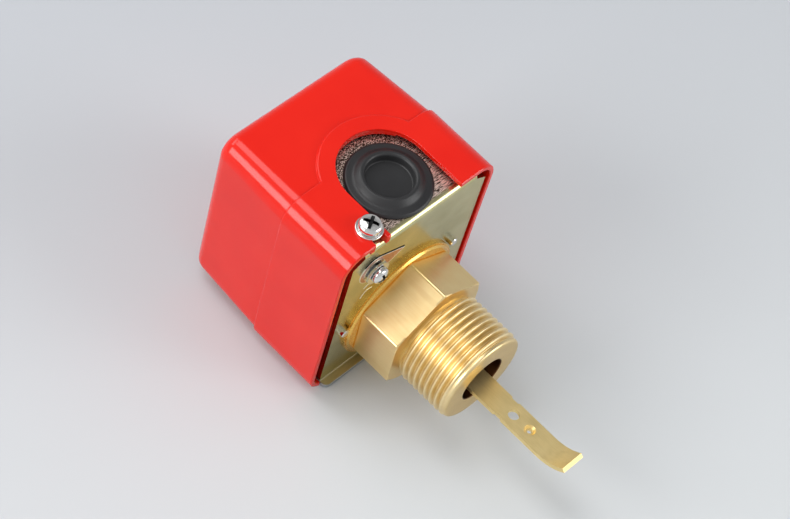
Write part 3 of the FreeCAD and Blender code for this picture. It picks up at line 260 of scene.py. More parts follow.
@dataclass(frozen=True)
class PassivatedSheet:
    """Bright passivated sheet whose entry flange is coarser and flecked, with painted light on the flange's
    lit side and a greyer tint of painted shade on the back lip.
    """

    name: str = "passivated_sheet"
    olive: Colour = (0.50, 0.46, 0.22)
    straw: Colour = (0.68, 0.62, 0.35)
    flange_light: Colour = (0.90, 0.72, 0.62)
    flange_dark: Colour = (0.06, 0.035, 0.025)
    # painted shade: a greyer, cooler tint for the back lip
    lip: Colour = (0.50, 0.54, 0.56)
    flange_above: Point2 = (42.5 * MM, 43.7 * MM)
    flange_inside: Point2 = (20.8 * MM, 21.6 * MM)
    shaded_lip_below: Point2 = (-22.6 * MM, -23.6 * MM)
    streaks_and_light_past: Point2 = (-42 * MM, -12 * MM)

    def build(self) -> None:
        """Make the material."""
        graph = Graph(self.name, Metallic=1.0)
        x, y, z = graph.axes()
        rolled = graph.noise(0.6 * MM, 4.0, (0.06, 1.0, 1.0))
        plate = graph.mix(graph.span(graph.noise(12 * MM, 2.0), 0.3, 0.7), self.olive, self.straw)
        # painted shade: the back lip, the sheet's lowest part, takes the greyer lip tint and more roughness
        on_shaded_lip = graph.span(z, *self.shaded_lip_below)
        plate = graph.mix(on_shaded_lip, plate, self.lip)
        fleck = graph.noise(0.4 * MM, 4.0)
        streak = graph.noise(0.35 * MM, 3.0, (0.25, 1.6, 1.0))
        # painted light: lit marks the flange's lit side, towards +X and -Y, which shows streaks instead of
        # flecks
        lit = graph.span(graph.math("SUBTRACT", x, y), *self.streaks_and_light_past)
        marked = graph.math("ADD", graph.math("MULTIPLY", fleck, graph.span(lit, 0, 1, 1, 0)),
                            graph.math("MULTIPLY", streak, lit))
        # painted light: the flange's lit side is made lighter
        marked = graph.math("ADD", marked, graph.math("MULTIPLY", lit, 0.07))
        flange = graph.mix(graph.span(marked, 0.48, 0.59), self.flange_dark, self.flange_light)
        on_flange = graph.math("MULTIPLY", graph.span(z, *self.flange_above),
                               graph.span(y, *self.flange_inside))
        rough = graph.math("ADD", graph.span(rolled, 0.3, 0.7, 0.19, 0.27),
                           graph.math("MULTIPLY", on_flange, 0.22))
        rough = graph.math("ADD", rough, graph.math("MULTIPLY", on_shaded_lip, 0.25))
        graph.finish(graph.mix(on_flange, plate, flange), rough, (rolled, 0.08, 0.01 * MM),
                     (graph.math("MULTIPLY", fleck, on_flange), 0.5, 0.08 * MM))


@dataclass(frozen=True)
class ThreadBrass:
    """Turned brass, darker in the thread's roots, partly patina and partly painted shade, and near-black in
    the bore as painted shade.
    """

    name: str = "turned_brass"
    crest: Colour = (0.98, 0.80, 0.47)
    root: Colour = (0.74, 0.53, 0.22)
    # painted shade: near-black brown for the inside of the bore
    bore: Colour = (0.16, 0.07, 0.03)
    thread_radii: Point2 = (15.3 * MM, 16.6 * MM)
    bore_shade_radii: Point2 = (8.4 * MM, 8.6 * MM)

    def build(self) -> None:
        """Make the material."""
        graph = Graph(self.name, Metallic=1.0)
        x, _, z = graph.axes()
        square = graph.math("ADD", graph.math("POWER", x, 2.0), graph.math("POWER", z, 2.0))
        radius = graph.math("POWER", square, 0.5)
        cloud = graph.noise(4 * MM)
        lines = graph.noise(0.25 * MM, 2.0, (0.05, 1.0, 0.05))
        # darker towards the thread's roots: partly patina, partly painted shade
        out = graph.math("ADD", graph.span(radius, *self.thread_radii, 0.0, 0.75),
                         graph.span(cloud, 0.35, 0.65, 0.0, 0.25))
        skin = graph.mix(out, self.root, self.crest)
        # painted shade: inside the bore radius the colour turns to the near-black bore tone
        graph.finish(graph.mix(graph.span(radius, *self.bore_shade_radii), self.bore, skin),
                     graph.span(cloud, 0.3, 0.7, 0.30, 0.40), (lines, 0.12, 0.02 * MM))


FINISHES = (
    PassivatedSheet(),
    ThreadBrass(),
    Moulding("red_plastic", (0.74, 0.013, 0.004), (0.70, 0.010, 0.003), (0.13, 0.18), 0.4 * MM,
             0.04, 0.01 * MM, waves=0.01 * MM),
    # painted shadow: near-black matt finish for the line along the coined teardrop's upper side
    Moulding("groove_painted_shadow", (0.010, 0.009, 0.007), (0.004, 0.003, 0.003), (0.8, 0.9), 0.3 * MM, shine=0.05),
    Moulding("rubber", (0.027, 0.027, 0.028), (0.015, 0.015, 0.016), (0.36, 0.44), 0.3 * MM, 0.35,
             0.03 * MM),
    Moulding("switch_case", (0.030, 0.028, 0.030), (0.018, 0.017, 0.018), (0.4, 0.5), 0.4 * MM, 0.3),
    Moulding("insulation", (0.40, 0.24, 0.11), (0.28, 0.16, 0.07), (0.6, 0.75), 0.3 * MM, 0.5, 0.03 * MM),
    Moulding("plunger_plastic", (0.62, 0.04, 0.03), (0.5, 0.03, 0.02), (0.35, 0.45), 0.3 * MM),
    Metal("milled_brass", (0.97, 0.76, 0.39), (0.92, 0.67, 0.31), (0.30, 0.38), 0.6 * MM,
          (1.0, 0.06, 1.0), 0.12, 0.01 * MM),
    Metal("arm_brass", (0.93, 0.74, 0.36), (0.82, 0.64, 0.28), (0.38, 0.5), 0.5 * MM, (1.0, 0.08, 1.0), 0.3),
    Metal("silver_brass", (0.80, 0.74, 0.56), (0.60, 0.54, 0.38), (0.22, 0.34), 0.4 * MM),
    Metal("golden_ring", (0.95, 0.62, 0.17), (0.84, 0.48, 0.10), (0.2, 0.3), 0.4 * MM),
    # painted reflection: reddish tone standing in for the red cover mirrored in the coined teardrop's floor
    Metal("coined_red_reflection", (0.80, 0.46, 0.30), (0.46, 0.16, 0.08), (0.25, 0.35), 0.4 * MM),
    # painted highlight: near-white metal for the coined teardrop's rim and the stamped strokes
    Metal("painted_highlight_edge", (1.0, 0.98, 0.86), (0.90, 0.85, 0.66), (0.3, 0.4), 0.6 * MM),
    Metal("nickel", (0.86, 0.85, 0.83), (0.66, 0.65, 0.62), (0.08, 0.2), 0.3 * MM),
    Metal("dark_nickel", (0.34, 0.34, 0.35), (0.10, 0.10, 0.10), (0.16, 0.26), 0.6 * MM),
    # painted shade: near-black metal left on the cut walls of the screws' cross recesses
    Metal("recess_painted_shade", (0.10, 0.10, 0.10), (0.02, 0.02, 0.02), (0.25, 0.4), 0.6 * MM),
    Metal("bronze", (0.62, 0.38, 0.20), (0.42, 0.24, 0.12), (0.3, 0.42), 0.3 * MM),
    Metal("zinc_steel", (0.66, 0.67, 0.69), (0.48, 0.49, 0.50), (0.24, 0.38), 0.8 * MM),
    Metal("steel", (0.58, 0.58, 0.60), (0.36, 0.36, 0.37), (0.2, 0.32), 0.3 * MM),
)
# Every other slot's finish has the slot's own name.
SLOT_FINISH = {"passivated_steel": "passivated_sheet", "brass": "milled_brass"}


# ---- mesh workshop
def rounded(corners: Sequence[Point3], steps: int = 5) -> Profile:
    """Round the corners of an open outline.

    Args:
        corners: X, Y and corner radius of each point; the ends keep their place.
        steps: How many stretches make up one rounded corner.

    Returns:
        The points of the rounded outline.
    """
    points: Profile = []
    for index, (x, y, radius) in enumerate(corners):
        if radius <= 0 or index in (0, len(corners) - 1):
            points.append((x, y))
            continue
        here = Vector((x, y))
        before = (Vector(corners[index - 1][:2]) - here).normalized()
        after = (Vector(corners[index + 1][:2]) - here).normalized()
        half = before.angle(after) / 2
        cut = radius / math.tan(half)
        centre = here + (before + after).normalized() * (radius / math.sin(half))
        start = here + before * cut - centre
        sweep = start.angle_signed(here + after * cut - centre)
        for step in range(steps + 1):
            spoke = start.copy()
            spoke.rotate(Matrix.Rotation(-sweep * step / steps, 2))
            points.append(tuple(centre + spoke))
    return points


def quarter(radius: float, steps: int) -> Profile:
    """Return how far a quarter-round edge lies below its top and inside its wall, step by step."""
    angles = [math.pi / 2 * step / steps for step in range(steps + 1)]
    return [(radius * (1 - math.sin(angle)), radius * (1 - math.cos(angle))) for angle in angles]


def rectangle(left: float, low: float, right: float, high: float) -> Profile:
    """Return the corners of a rectangle."""
    return [(left, low), (right, low), (right, high), (left, high)]


def band(here: int, there: int, count: int) -> list[Face]:
    """Join two rings of count points, given by the numbers of their first points, by faces."""
    return [(here + step, here + (step + 1) % count, there + (step + 1) % count, there + step)
            for step in range(count)]


def bands(rows: int, count: int) -> list[Face]:
    """Return the bands between rings of count points that follow each other."""
    return [face for row in range(rows - 1) for face in band(row * count, (row + 1) * count, count)]


def new_piece(name: str, mesh: Mesh, finish: str, sharp: float = 35.0) -> Piece:
    """Make an object from a mesh, smooth but for its sharp edges.

    Args:
        name: The piece's name.
        mesh: Its mesh.
        finish: The name of its finish.
        sharp: Angle in degrees above which an edge stays sharp.

    Returns:
        The new object.
    """
    mesh.name = name
    mesh.materials.append(finishes[finish])
    shade(mesh, sharp)
    piece = bpy.data.objects.new(name, mesh)
    bpy.context.scene.collection.objects.link(piece)
    return piece


def shade(mesh: Mesh, sharp: float) -> None:
    """Smooth a mesh's faces but keep edges above an angle in degrees sharp."""
    mesh.polygons.foreach_set("use_smooth", [True] * len(mesh.polygons))
    mesh.set_sharp_from_angle(angle=math.radians(sharp))


def mesh_of(points: Iterable[Sequence[float]], faces: Iterable[Face]) -> Mesh:
    """Make a mesh with outward faces.

    Args:
        points: Its corners.
        faces: The corner numbers of each face.

    Returns:
        The mesh.
    """
    mesh = bpy.data.meshes.new("form")
    mesh.from_pydata(list(points), [], list(faces))
    work = bmesh.new()
    work.from_mesh(mesh)
    bmesh.ops.remove_doubles(work, verts=work.verts, dist=1e-7)
    bmesh.ops.dissolve_degenerate(work, edges=work.edges, dist=1e-6)
    bmesh.ops.recalc_face_normals(work, faces=work.faces)
    work.to_mesh(mesh)
    work.free()
    return mesh


def turned(outline: Profile, steps: int, closed: bool = True,
           radius: Callable[[float, float, float], float] | None = None) -> Mesh:
    """Turn an outline of (radius, level) points about +Y.

    Args:
        outline: The outline from one end to the other.
        steps: Divisions of the turn.
        closed: True where the outline's last point joins its first.
        radius: Optional change of a point's radius by its (radius, level, angle), for threads.

    Returns:
        The mesh.
    """
    points: list[Point3] = []
    for distance, level in outline:
        for step in range(steps):
            angle = CIRCLE * step / steps
            reach = radius(distance, level, angle) if radius else distance
            points.append((reach * math.sin(angle), level, reach * math.cos(angle)))
    faces = bands(len(outline), steps)
    if closed:
        faces += band(len(points) - steps, 0, steps)
    return mesh_of(points, faces)


def stack(points: Sequence[Point3], count: int) -> Mesh:
    """Make a mesh from rings of count points that follow each other, closed at both ends."""
    ends = [tuple(range(count)), tuple(range(len(points) - count, len(points)))]
    return mesh_of(points, bands(len(points) // count, count) + ends)


def prism(outline: Profile, low: float, high: float, along_stem: bool = False) -> Mesh:
    """Make a straight block.

    Args:
        outline: Its closed outline, in X and Y or, for a block along the stem, in X and Z.
        low: Its lower end.
        high: Its upper end.
        along_stem: True for a block along Y, False for one along Z.

    Returns:
        The closed mesh.
    """
    return stack([(x, level, y) if along_stem else (x, y, level)
                  for level in (low, high) for x, y in outline], len(outline))


def wire(spots: Profile, level: float, thick: float, order: int) -> Mesh:
    """Make a raised line across the base.

    Args:
        spots: X and Z of the points that guide it.
        level: Its height along the stem.
        thick: Its radius.
        order: 2 for straight stretches, more for smooth ones.

    Returns:
        The mesh.
    """
    curve = bpy.data.curves.new("line", "CURVE")
    curve.dimensions = "3D"
    curve.bevel_depth = thick
    curve.bevel_resolution = 2
    curve.use_fill_caps = True
    spline = curve.splines.new("NURBS")
    spline.points.add(len(spots) - 1)
    for point, (x, z) in zip(spline.points, spots):
        point.co = (x, level, z, 1.0)
    spline.order_u = order
    spline.use_endpoint_u = True
    holder = bpy.data.objects.new("line", curve)
    bpy.context.scene.collection.objects.link(holder)
    mesh = finished(holder)
    bpy.data.objects.remove(holder)
    mesh.materials.clear()
    return mesh


def finished(piece: Piece) -> Mesh:
    """Return a piece's mesh with its modifiers or its curve worked out.

    Args:
        piece: The piece.

    Returns:
        The mesh.
    """
    bpy.context.view_layer.update()
    graph = bpy.context.evaluated_depsgraph_get()
    return bpy.data.meshes.new_from_object(piece.evaluated_get(graph))


def apply_modifiers(piece: Piece) -> None:
    """Turn a piece's modifiers into its mesh.

    Args:
        piece: The piece.
    """
    made = finished(piece)
    piece.modifiers.clear()
    piece.data = made


def break_edges(piece: Piece, width: float, angle: float = 50.0, segments: int = 2) -> bpy.types.Modifier:
    """Bevel the sharp edges of a piece.

    Args:
        piece: The piece.
        width: Width of the broken edge.
        angle: Edges sharper than this angle in degrees are broken.
        segments: Divisions of the broken edge.

    Returns:
        The modifier, which isn't applied yet.
    """
    bevel = piece.modifiers.new("broken_edges", "BEVEL")
    bevel.width = width
    bevel.segments = segments
    bevel.limit_method = "ANGLE"
    bevel.angle_limit = math.radians(angle)
    return bevel


def carve(piece: Piece, cutter: Mesh, kind: str = "DIFFERENCE") -> None:
    """Cut a mesh out of a piece, or join it on.

    Args:
        piece: The piece.
        cutter: The closed mesh to take away or add.
        kind: DIFFERENCE to cut, UNION to add.
    """
    tool = bpy.data.objects.new("cutter", cutter)
    bpy.context.scene.collection.objects.link(tool)
    cut = piece.modifiers.new("cut", "BOOLEAN")
    cut.object = tool
    cut.operation = kind
    cut.solver = "EXACT"
    cut.material_mode = "TRANSFER" if cutter.materials else "INDEX"
    apply_modifiers(piece)
    bpy.data.objects.remove(tool)


def settle(piece: Piece, place: Sequence[float], facing: Facing = Facing.OUT_OF_ENTRY) -> None:
    """Turn a piece's mesh from +Y and move its own origin to a place."""
    piece.data.transform(Matrix.Translation(place) @ Matrix.Rotation(facing.value, 4, "X"))


def fit_out(piece: Piece, body: Body, slot: str, *nodes: str) -> None:
    """Let a piece ride on a body and stand for CAD nodes.

    Args:
        piece: The piece.
        body: The body that it moves with.
        slot: The record's material slot; not used.
        nodes: The CAD nodes that it stands for.
    """
    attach(piece, body.value)
    if nodes:
        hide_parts(*nodes)
    log.info("%s rides on %s", piece.name, body.value)


def bend(piece: Piece, first: Body, second: Body,
         node: str) -> None:
    """Bake a piece's place into its mesh, stand for a CAD node and log the two bodies at its ends.

    Args:
        piece: The piece.
        first: The body at its first end, named in the log.
        second: The body at its second end, named in the log.
        node: The CAD node that it stands for.
    """
    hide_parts(node)
    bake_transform(piece)
    log.info("%s bends from %s to %s", piece.name, first.value, second.value)


def middle(box: tuple[Vector, Vector]) -> Vector:
    """Return the middle of a box."""
    return (box[0] + box[1]) / 2


def clamped(value: float) -> float:
    """Return a value kept between 0 and 1."""
    return min(1.0, max(0.0, value))


def eased(share: float) -> float:
    """Return a share between 0 and 1 with a soft start and end."""
    return share * share * (3 - 2 * share)


# ---- stem
@dataclass
class Stem:
    """Brass stem: helical pipe thread, end ring, bore, hexagon and nipple."""

    crest: float = 16.625 * MM
    pitch: float = 2.309 * MM
    depth: float = 1.30 * MM
    crest_flat: float = 0.16
    flank: float = 0.68
    flank_bow: float = 0.35
    lead: float = 0.6 * MM
    run_out: float = 1.6
    fade: float = 0.9 * MM
    relief: float = 15.3 * MM
    shoulder: float = 1.6 * MM
    end: float = -20.0 * MM
    ring: float = 16.1 * MM
    ring_top: float = -18.7 * MM
    ring_round: float = 0.9 * MM
    bore: float = 8.3 * MM
    bore_rounds: Point2 = (0.3 * MM, 0.4 * MM)
    seat: float = 6.6 * MM
    seat_level: float = 0.6 * MM
    nipple: float = 8.5 * MM
    nipple_top: float = 25.4 * MM
    hidden: float = 0.5 * MM
    hex_half: float = 18.4 * MM
    hex_top: float = 16.9 * MM
    hex_top_round: Point2 = (0.2 * MM, 0.3 * MM)
    first_corner: float = math.radians(32)
    corner_round: float = 0.35 * MM
    corner_fall: float = 20.0
    chamfer: float = 1.0 * MM
    chamfer_slope: float = 1.9
    rows: int = 190

    def thread_radius(self, distance: float, level: float, angle: float) -> float:
        """Radius of the threaded part.

        Args:
            distance: Radius of the plain outline.
            level: Height along the stem.
            angle: Turn about the stem.

        Returns:
            The radius there.
        """
        if distance < self.relief or not self.ring_top <= level <= self.lead:
            return distance
        share = (level / self.pitch - angle / CIRCLE) % 1.0
        flank = clamped((abs(share * 2 - 1) - self.crest_flat) / self.flank)
        vee = eased(flank) * self.flank_bow + flank * (1 - self.flank_bow)
        fade = eased(clamped((level - self.ring_top) / self.fade))
        blended = self.ring + (self.crest - self.depth * vee - self.ring) * fade
        return min(blended, self.relief + max(0.0, self.lead - level) * self.run_out)

    def build_thread(self) -> None:
        """Make the threaded end with its ring, bore and nipple."""
        outline = [(self.relief, self.shoulder), (self.relief, self.lead + 0.1 * MM)]
        outline += [(self.crest, self.lead + (self.ring_top - self.lead) * row / self.rows)
                    for row in range(self.rows + 1)]
        end_round, seat_round = self.bore_rounds
        outline += rounded([(self.ring, self.ring_top, 0), (self.ring, self.end, self.ring_round),
                            (self.bore, self.end, end_round), (self.bore, self.seat_level, seat_round),
                            (self.seat, self.seat_level, 0)])
        outline += [(self.seat, self.nipple_top), (self.nipple, self.nipple_top),
                    (self.nipple, self.hex_top - self.hidden)]
        mesh = turned(outline, 192, radius=self.thread_radius)
        piece = new_piece("stem_thread", mesh, "turned_brass", 50)
        fit_out(piece, Body.HOUSING, "brass", "stem_body")

    def hex_reach(self, angle: float, level: float) -> float:
        """Reach of the hexagon, the least of its flat, its worn corner and its chamfer.

        Args:
            angle: Turn about the stem from a corner.
            level: Height along the stem.

        Returns:
            The distance from the axis.
        """
        tip = self.hex_half / math.cos(math.pi / 6)
        off = abs((angle + math.pi / 6) % (math.pi / 3) - math.pi / 6)
        flat = self.hex_half / math.cos(math.pi / 6 - off)
        worn = tip - self.corner_round + self.corner_round * (off * self.corner_fall)
        cone = tip - self.chamfer + (level - self.shoulder) * self.chamfer_slope
        return min(flat, worn, cone) - (self.hex_top_round[0] if level == self.hex_top else 0.0)

    def build_hexagon(self) -> None:
        """Make the hexagon with worn corners and a turned chamfer."""
        offsets = (-2.0, -1.3, -0.65, 0.0, 0.65, 1.3, 2.0, 10, 20, 30, 40, 50)
        angles = [math.radians(60 * side) + math.radians(offset)
                  for side in range(6) for offset in offsets]
        levels = [self.shoulder + self.chamfer * share for share in (0.0, 0.12, 0.25, 0.4, 0.6, 0.8, 1.0)]
        levels += [self.hex_top - self.hex_top_round[1], self.hex_top]
        rings = [(level, [self.hex_reach(angle, level) for angle in angles]) for level in levels]
        inner = [self.relief - self.hidden] * len(angles)
        rings += [(self.shoulder, inner), (self.hex_top, inner)]
        points = [(reach * math.cos(angle + self.first_corner), level,
                   reach * math.sin(angle + self.first_corner))
                  for level, reaches in rings for reach, angle in zip(reaches, angles)]
        count, top = len(angles), len(levels) - 1
        faces = bands(len(levels), count) + band(0, (top + 1) * count, count)
        faces += band(top * count, (top + 2) * count, count)
        piece = new_piece("stem_hexagon", mesh_of(points, faces), "milled_brass", 12)
        fit_out(piece, Body.HOUSING, "brass")

    def build(self) -> None:
        """Make every piece of the stem."""
        self.build_thread()
        self.build_hexagon()


# ---- screws and washers
@dataclass
class PanScrew:
    """Pan-head screw with a cross recess; its head's seat is its own origin, head to +Y.

    The recess's bars are given by their half length and width as shares of the head's radius,
    at the foot of the recess and above its mouth.
    """

    shank: float = 2.0 * MM
    head: float = 3.7 * MM
    rise: float = 2.3 * MM
    length: float = 8.0 * MM
    crown: Point2 = (0.45, 0.6 * MM)
    brim: Point3 = (0.97, 0.62, 1.1 * MM)
    recess: float = 1.75 * MM
    foot: Point2 = (0.42, 0.2)
    mouth: Point2 = (0.95, 0.38)
    clear: float = 1.0 * MM
    turn: float = 0.5

    def bar(self, turn: float) -> Mesh:
        """Make one tapered bar of the cross that is cut into the head.

        Args:
            turn: Its turn about the screw.

        Returns:
            The closed mesh.
        """
        work = bmesh.new()
        for vert in bmesh.ops.create_cube(work, size=1.0)["verts"]:
            low = vert.co.y < 0
            reach, thick = self.foot if low else self.mouth
            level = self.rise - self.recess if low else self.rise + self.clear
            spot = Vector((math.copysign(self.head * reach, vert.co.x), level,
                           math.copysign(self.head * thick / 2, vert.co.z)))
            spot.rotate(Matrix.Rotation(turn, 3, "Y"))
            vert.co = spot
        bmesh.ops.recalc_face_normals(work, faces=work.faces)
        mesh = bpy.data.meshes.new("recess_bar")
        # painted shade: the bar's near-black finish goes onto the recess walls that it cuts
        mesh.materials.append(finishes["recess_painted_shade"])
        work.to_mesh(mesh)
        work.free()
        return mesh

    def build(self, name: str) -> Piece:
        """Make the screw at the origin.

        Args:
            name: The piece's name.

        Returns:
            The screw.
        """
        reach, height, brim_round = self.brim
        outline = rounded([(0.0, self.rise, 0), (self.head * self.crown[0], self.rise, self.crown[1]),
                           (self.head * reach, self.rise * height, brim_round),
                           (self.head, 0.0, 0.2 * MM), (self.shank, 0.0, 0)], 8)
        outline += [(self.shank, -self.length + 0.5 * MM), (0.0, -self.length)]
        piece = new_piece(name, turned(outline, 64, closed=False), "nickel", 40)
        for quarters in range(2):
            carve(piece, self.bar(self.turn + quarters * math.pi / 2))
        piece.data.set_sharp_from_angle(angle=math.radians(40))
        return piece


@dataclass
class SplitWasher:
    """Spring washer with its cut ends sprung a little apart; its base is its own origin."""

    finish: str = "nickel"
    inner: float = 2.05 * MM
    outer: float = 3.5 * MM
    thick: float = 0.62 * MM
    rise: float = 0.8 * MM
    gap: float = 0.14
    edge: float = 0.08 * MM
    steps: int = 72

    def build(self, name: str) -> Piece:
        """Make the washer at the origin.

        Args:
            name: The piece's name.

        Returns:
            The washer.
        """
        points: list[Point3] = []
        for step in range(self.steps + 1):
            angle = self.gap / 2 + (CIRCLE - self.gap) * step / self.steps
            lift = (self.rise - self.thick) * step / self.steps
            points += [(reach * math.sin(angle), level, reach * math.cos(angle)) for reach, level
                       in rectangle(self.inner, lift, self.outer, lift + self.thick)]
        piece = new_piece(name, stack(points, 4), self.finish, 30)
        break_edges(piece, self.edge, 40)
        apply_modifiers(piece)
        return piece


@dataclass
class CoverScrew:
    """The screw that holds the cover on the flange, with its flat and its spring washer."""

    inner: float = 2.05 * MM
    outer: float = 4.4 * MM
    thick: float = 0.7 * MM
    low_round: float = 0.1 * MM
    high_round: float = 0.28 * MM

    def flat_washer(self, name: str) -> Piece:
        """Make the flat washer at the origin, with its rounded side to +Y.

        Args:
            name: The piece's name.

        Returns:
            The washer.
        """
        outline = rounded([(self.inner, 0.0, 0), (self.outer, 0.0, self.low_round),
                           (self.outer, self.thick, self.high_round), (self.inner, self.thick, 0)])
        return new_piece(name, turned(outline, 72), "nickel", 30)

    def build(self) -> None:
        """Make the screw and its washers on the cover's face."""
        flat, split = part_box("cover_flat_washer"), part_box("cover_spring_washer")
        screw = PanScrew(length=split[1].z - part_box("cover_screw")[0].z)
        for piece, level, node in (
                (self.flat_washer("cover_washer"), flat[0].z, "cover_flat_washer"),
                (SplitWasher().build("cover_split_washer"), split[0].z, "cover_spring_washer"),
                (screw.build("cover_cross_screw"), split[1].z, "cover_screw")):
            settle(piece, (middle(flat).x, middle(flat).y, level))
            fit_out(piece, Body.HOUSING, "nickel", node)


@dataclass
class EarthPoint:
    """The earth screw under the base with its washer, coined teardrop and stamped strokes."""

    head: float = 3.0 * MM
    head_rise: float = 2.3 * MM
    lip: float = 2.8 * MM
    teardrop_round: float = 5.5 * MM
    teardrop_long: float = 13.3 * MM
    teardrop_drop: float = 0.3 * MM
    coined: Point2 = (-0.12 * MM, 0.1 * MM)
    rim: float = 0.26 * MM
    # painted shadow: thickness and offset of the dark line along the teardrop's upper side
    shade: float = 0.351 * MM
    painted_shadow_aside: Point2 = (-0.156 * MM, 0.494 * MM)
    raised: float = 0.4
    stroke: float = 0.2 * MM
    strokes: tuple[tuple[Point2, ...], ...] = (
        ((-19.4, 22.2), (-18.2, 23.4), (-16.0, 23.0)),
        ((-19.7, 17.1), (-18.9, 18.8), (-17.4, 20.0), (-15.2, 19.4)))

    def build(self) -> None:
        """Make the screw, the washer and the marks round them."""
        washer, (head, tip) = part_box("earth_spring_washer"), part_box("earth_screw")
        centre, seat = middle(washer), head.y + self.head_rise
        split = SplitWasher("dark_nickel", outer=3.3 * MM, gap=0.3)
        screw = PanScrew(head=self.head, rise=self.head_rise, recess=1.6 * MM,
                         turn=0.25, length=tip.y - seat)
        for piece, level, facing, node in (
                (split.build("earth_split_washer"), washer[0].y, Facing.UP_STEM, "earth_spring_washer"),
                (screw.build("earth_cross_screw"), seat, Facing.DOWN_STEM, "earth_screw")):
            settle(piece, (centre.x, level, centre.z), facing)
            fit_out(piece, Body.HOUSING, "nickel", node)
        self.build_marks(centre)

    def teardrop(self, centre: Vector) -> Profile:
        """Return the outline of the coined teardrop.

        Args:
            centre: The earth screw's place.

        Returns:
            X and Z of its points, from its tip round to its tip.
        """
        x, z = centre.x, centre.z - self.teardrop_drop
        tip = (x + self.teardrop_long, z + self.teardrop_drop)
        lean = math.atan2(self.teardrop_drop, self.teardrop_long)
        spread = math.acos(self.teardrop_round / math.hypot(self.teardrop_long, self.teardrop_drop))
        angles = [lean + spread + (CIRCLE - 2 * spread) * step / 32 for step in range(33)]
        return [tip, *((x + self.teardrop_round * math.cos(angle),
                        z + self.teardrop_round * math.sin(angle)) for angle in angles), tip]

    def build_marks(self, centre: Vector) -> None:
        """Make the teardrop's floor in a painted reflection, its rim in a painted highlight, a dark line of
        painted shadow along its upper side, and the two stamped strokes in a painted highlight.

        Args:
            centre: The earth screw's place.
        """
        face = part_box("base_bracket")[0].y + self.lip
        outline = self.teardrop(centre)
        # painted reflection: the teardrop's floor wears a reddish tone for the red cover mirrored in it
        floor = prism(outline[:-1], face + self.coined[0], face + self.coined[1], True)
        fit_out(new_piece("coined_floor", floor, "coined_red_reflection"), Body.HOUSING,
                "passivated_steel")
        # painted shadow: the dark line is shifted up and out from the teardrop's upper side
        shaded = [(x + self.painted_shadow_aside[0], z + self.painted_shadow_aside[1]) for x, z in outline[:12]]
        # painted highlight: the rim and the strokes wear near-white metal
        lines = [("coined_rim", self.rim, outline, 2, "painted_highlight_edge"),
                 ("coined_painted_shadow", self.shade, shaded, 2, "groove_painted_shadow")]
        for index, spots in enumerate(self.strokes):
            spots = [(x * MM, z * MM) for x, z in spots]
            lines.append((f"stamp_stroke_{index}", self.stroke, spots, 3, "painted_highlight_edge"))
        for name, thick, spots, order, finish in lines:
            mesh = wire(spots, face + thick * self.raised, thick, order)
            fit_out(new_piece(name, mesh, finish), Body.HOUSING, "passivated_steel")


# ---- pieces that bend
@dataclass
class RangeSpring:
    """Compression spring with closed ends, wound in two halves; the lower half rides on the housing."""

    wire: float = 0.43 * MM
    turns: float = 4.0
    closed: float = 1.0
    keep: float = 0.72
    sides: int = 10
    fineness: int = 28

    def coil(self, first: int, last: int) -> Mesh:
        """Make a run of the coil.

        Args:
            first: Its first step along the wire.
            last: Its last step.

        Returns:
            The closed mesh.
        """
        low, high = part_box("range_spring")
        centre = middle((low, high))
        reach = (high.x - low.x) / 2 - self.wire
        coils = self.turns + 2 * self.closed
        free = high.y - low.y - 2 * self.wire * (1 + 2 * self.closed)
        points: list[Point3] = []
        for step in range(first, last + 1):
            turn = step / self.fineness
            share = clamped((turn - self.closed) / self.turns)
            ends = min(turn, self.closed) + max(turn - coils + self.closed, 0.0)
            level = low.y + self.wire * (1 + 2 * ends) + share * free
            for side in range(self.sides):
                angle = CIRCLE * side / self.sides
                radius = reach + self.wire * math.cos(angle)
                points.append((centre.x + radius * math.cos(CIRCLE * turn),
                               level + self.wire * math.sin(angle),
                               centre.z + radius * math.sin(CIRCLE * turn)))
        return stack(points, self.sides)

    def build(self) -> None:
        """Wind both halves."""
        steps = int((self.turns + 2 * self.closed) * self.fineness)
        lower, upper = (new_piece(name, self.coil(first, last), "steel", 60)
                        for name, first, last in (("spring_rocker_half", 0, steps // 2),
                                                  ("spring_seat_half", steps // 2, steps)))
        fit_out(lower, Body.HOUSING, "steel", "range_spring")
        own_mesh(lower)
        bend(upper, Body.HOUSING, Body.SEAT,
             "range_spring")


@dataclass
class Bellows:
    """Folded bellows: its upper rim is fixed in the stem, its lower end to the lever rod."""

    cap: float = 0.6 * MM
    folds: int = 7
    fineness: int = 10
    pitch: float = 2.2 * MM
    crest: float = 6.0 * MM
    valley: float = 4.0 * MM
    wall: float = 0.4 * MM
    bore: float = 2.65 * MM
    rim: float = 6.55 * MM

    def build(self) -> None:
        """Make the bellows."""
        low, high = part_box("bellows")
        start = low.y + self.cap
        mean, swing = (self.crest + self.valley) / 2, (self.crest - self.valley) / 2
        outside = [(self.bore, low.y), (self.valley, low.y)]
        inside = [(self.bore, start)]
        for step in range(self.folds * self.fineness + 1):
            level = start + self.pitch * step / self.fineness
            radius = mean - swing * math.cos(CIRCLE * step / self.fineness)
            outside.append((radius, level))
            inside.append((radius - self.wall, level))
        outside += [(self.rim, high.y - self.cap), (self.rim, high.y)]
        inside.append((self.valley - self.wall, high.y))
        piece = new_piece("folded_bellows", turned(outside + inside[::-1], 64), "bronze", 40)
        bend(piece, Body.LEVER, Body.HOUSING,
             "bellows")


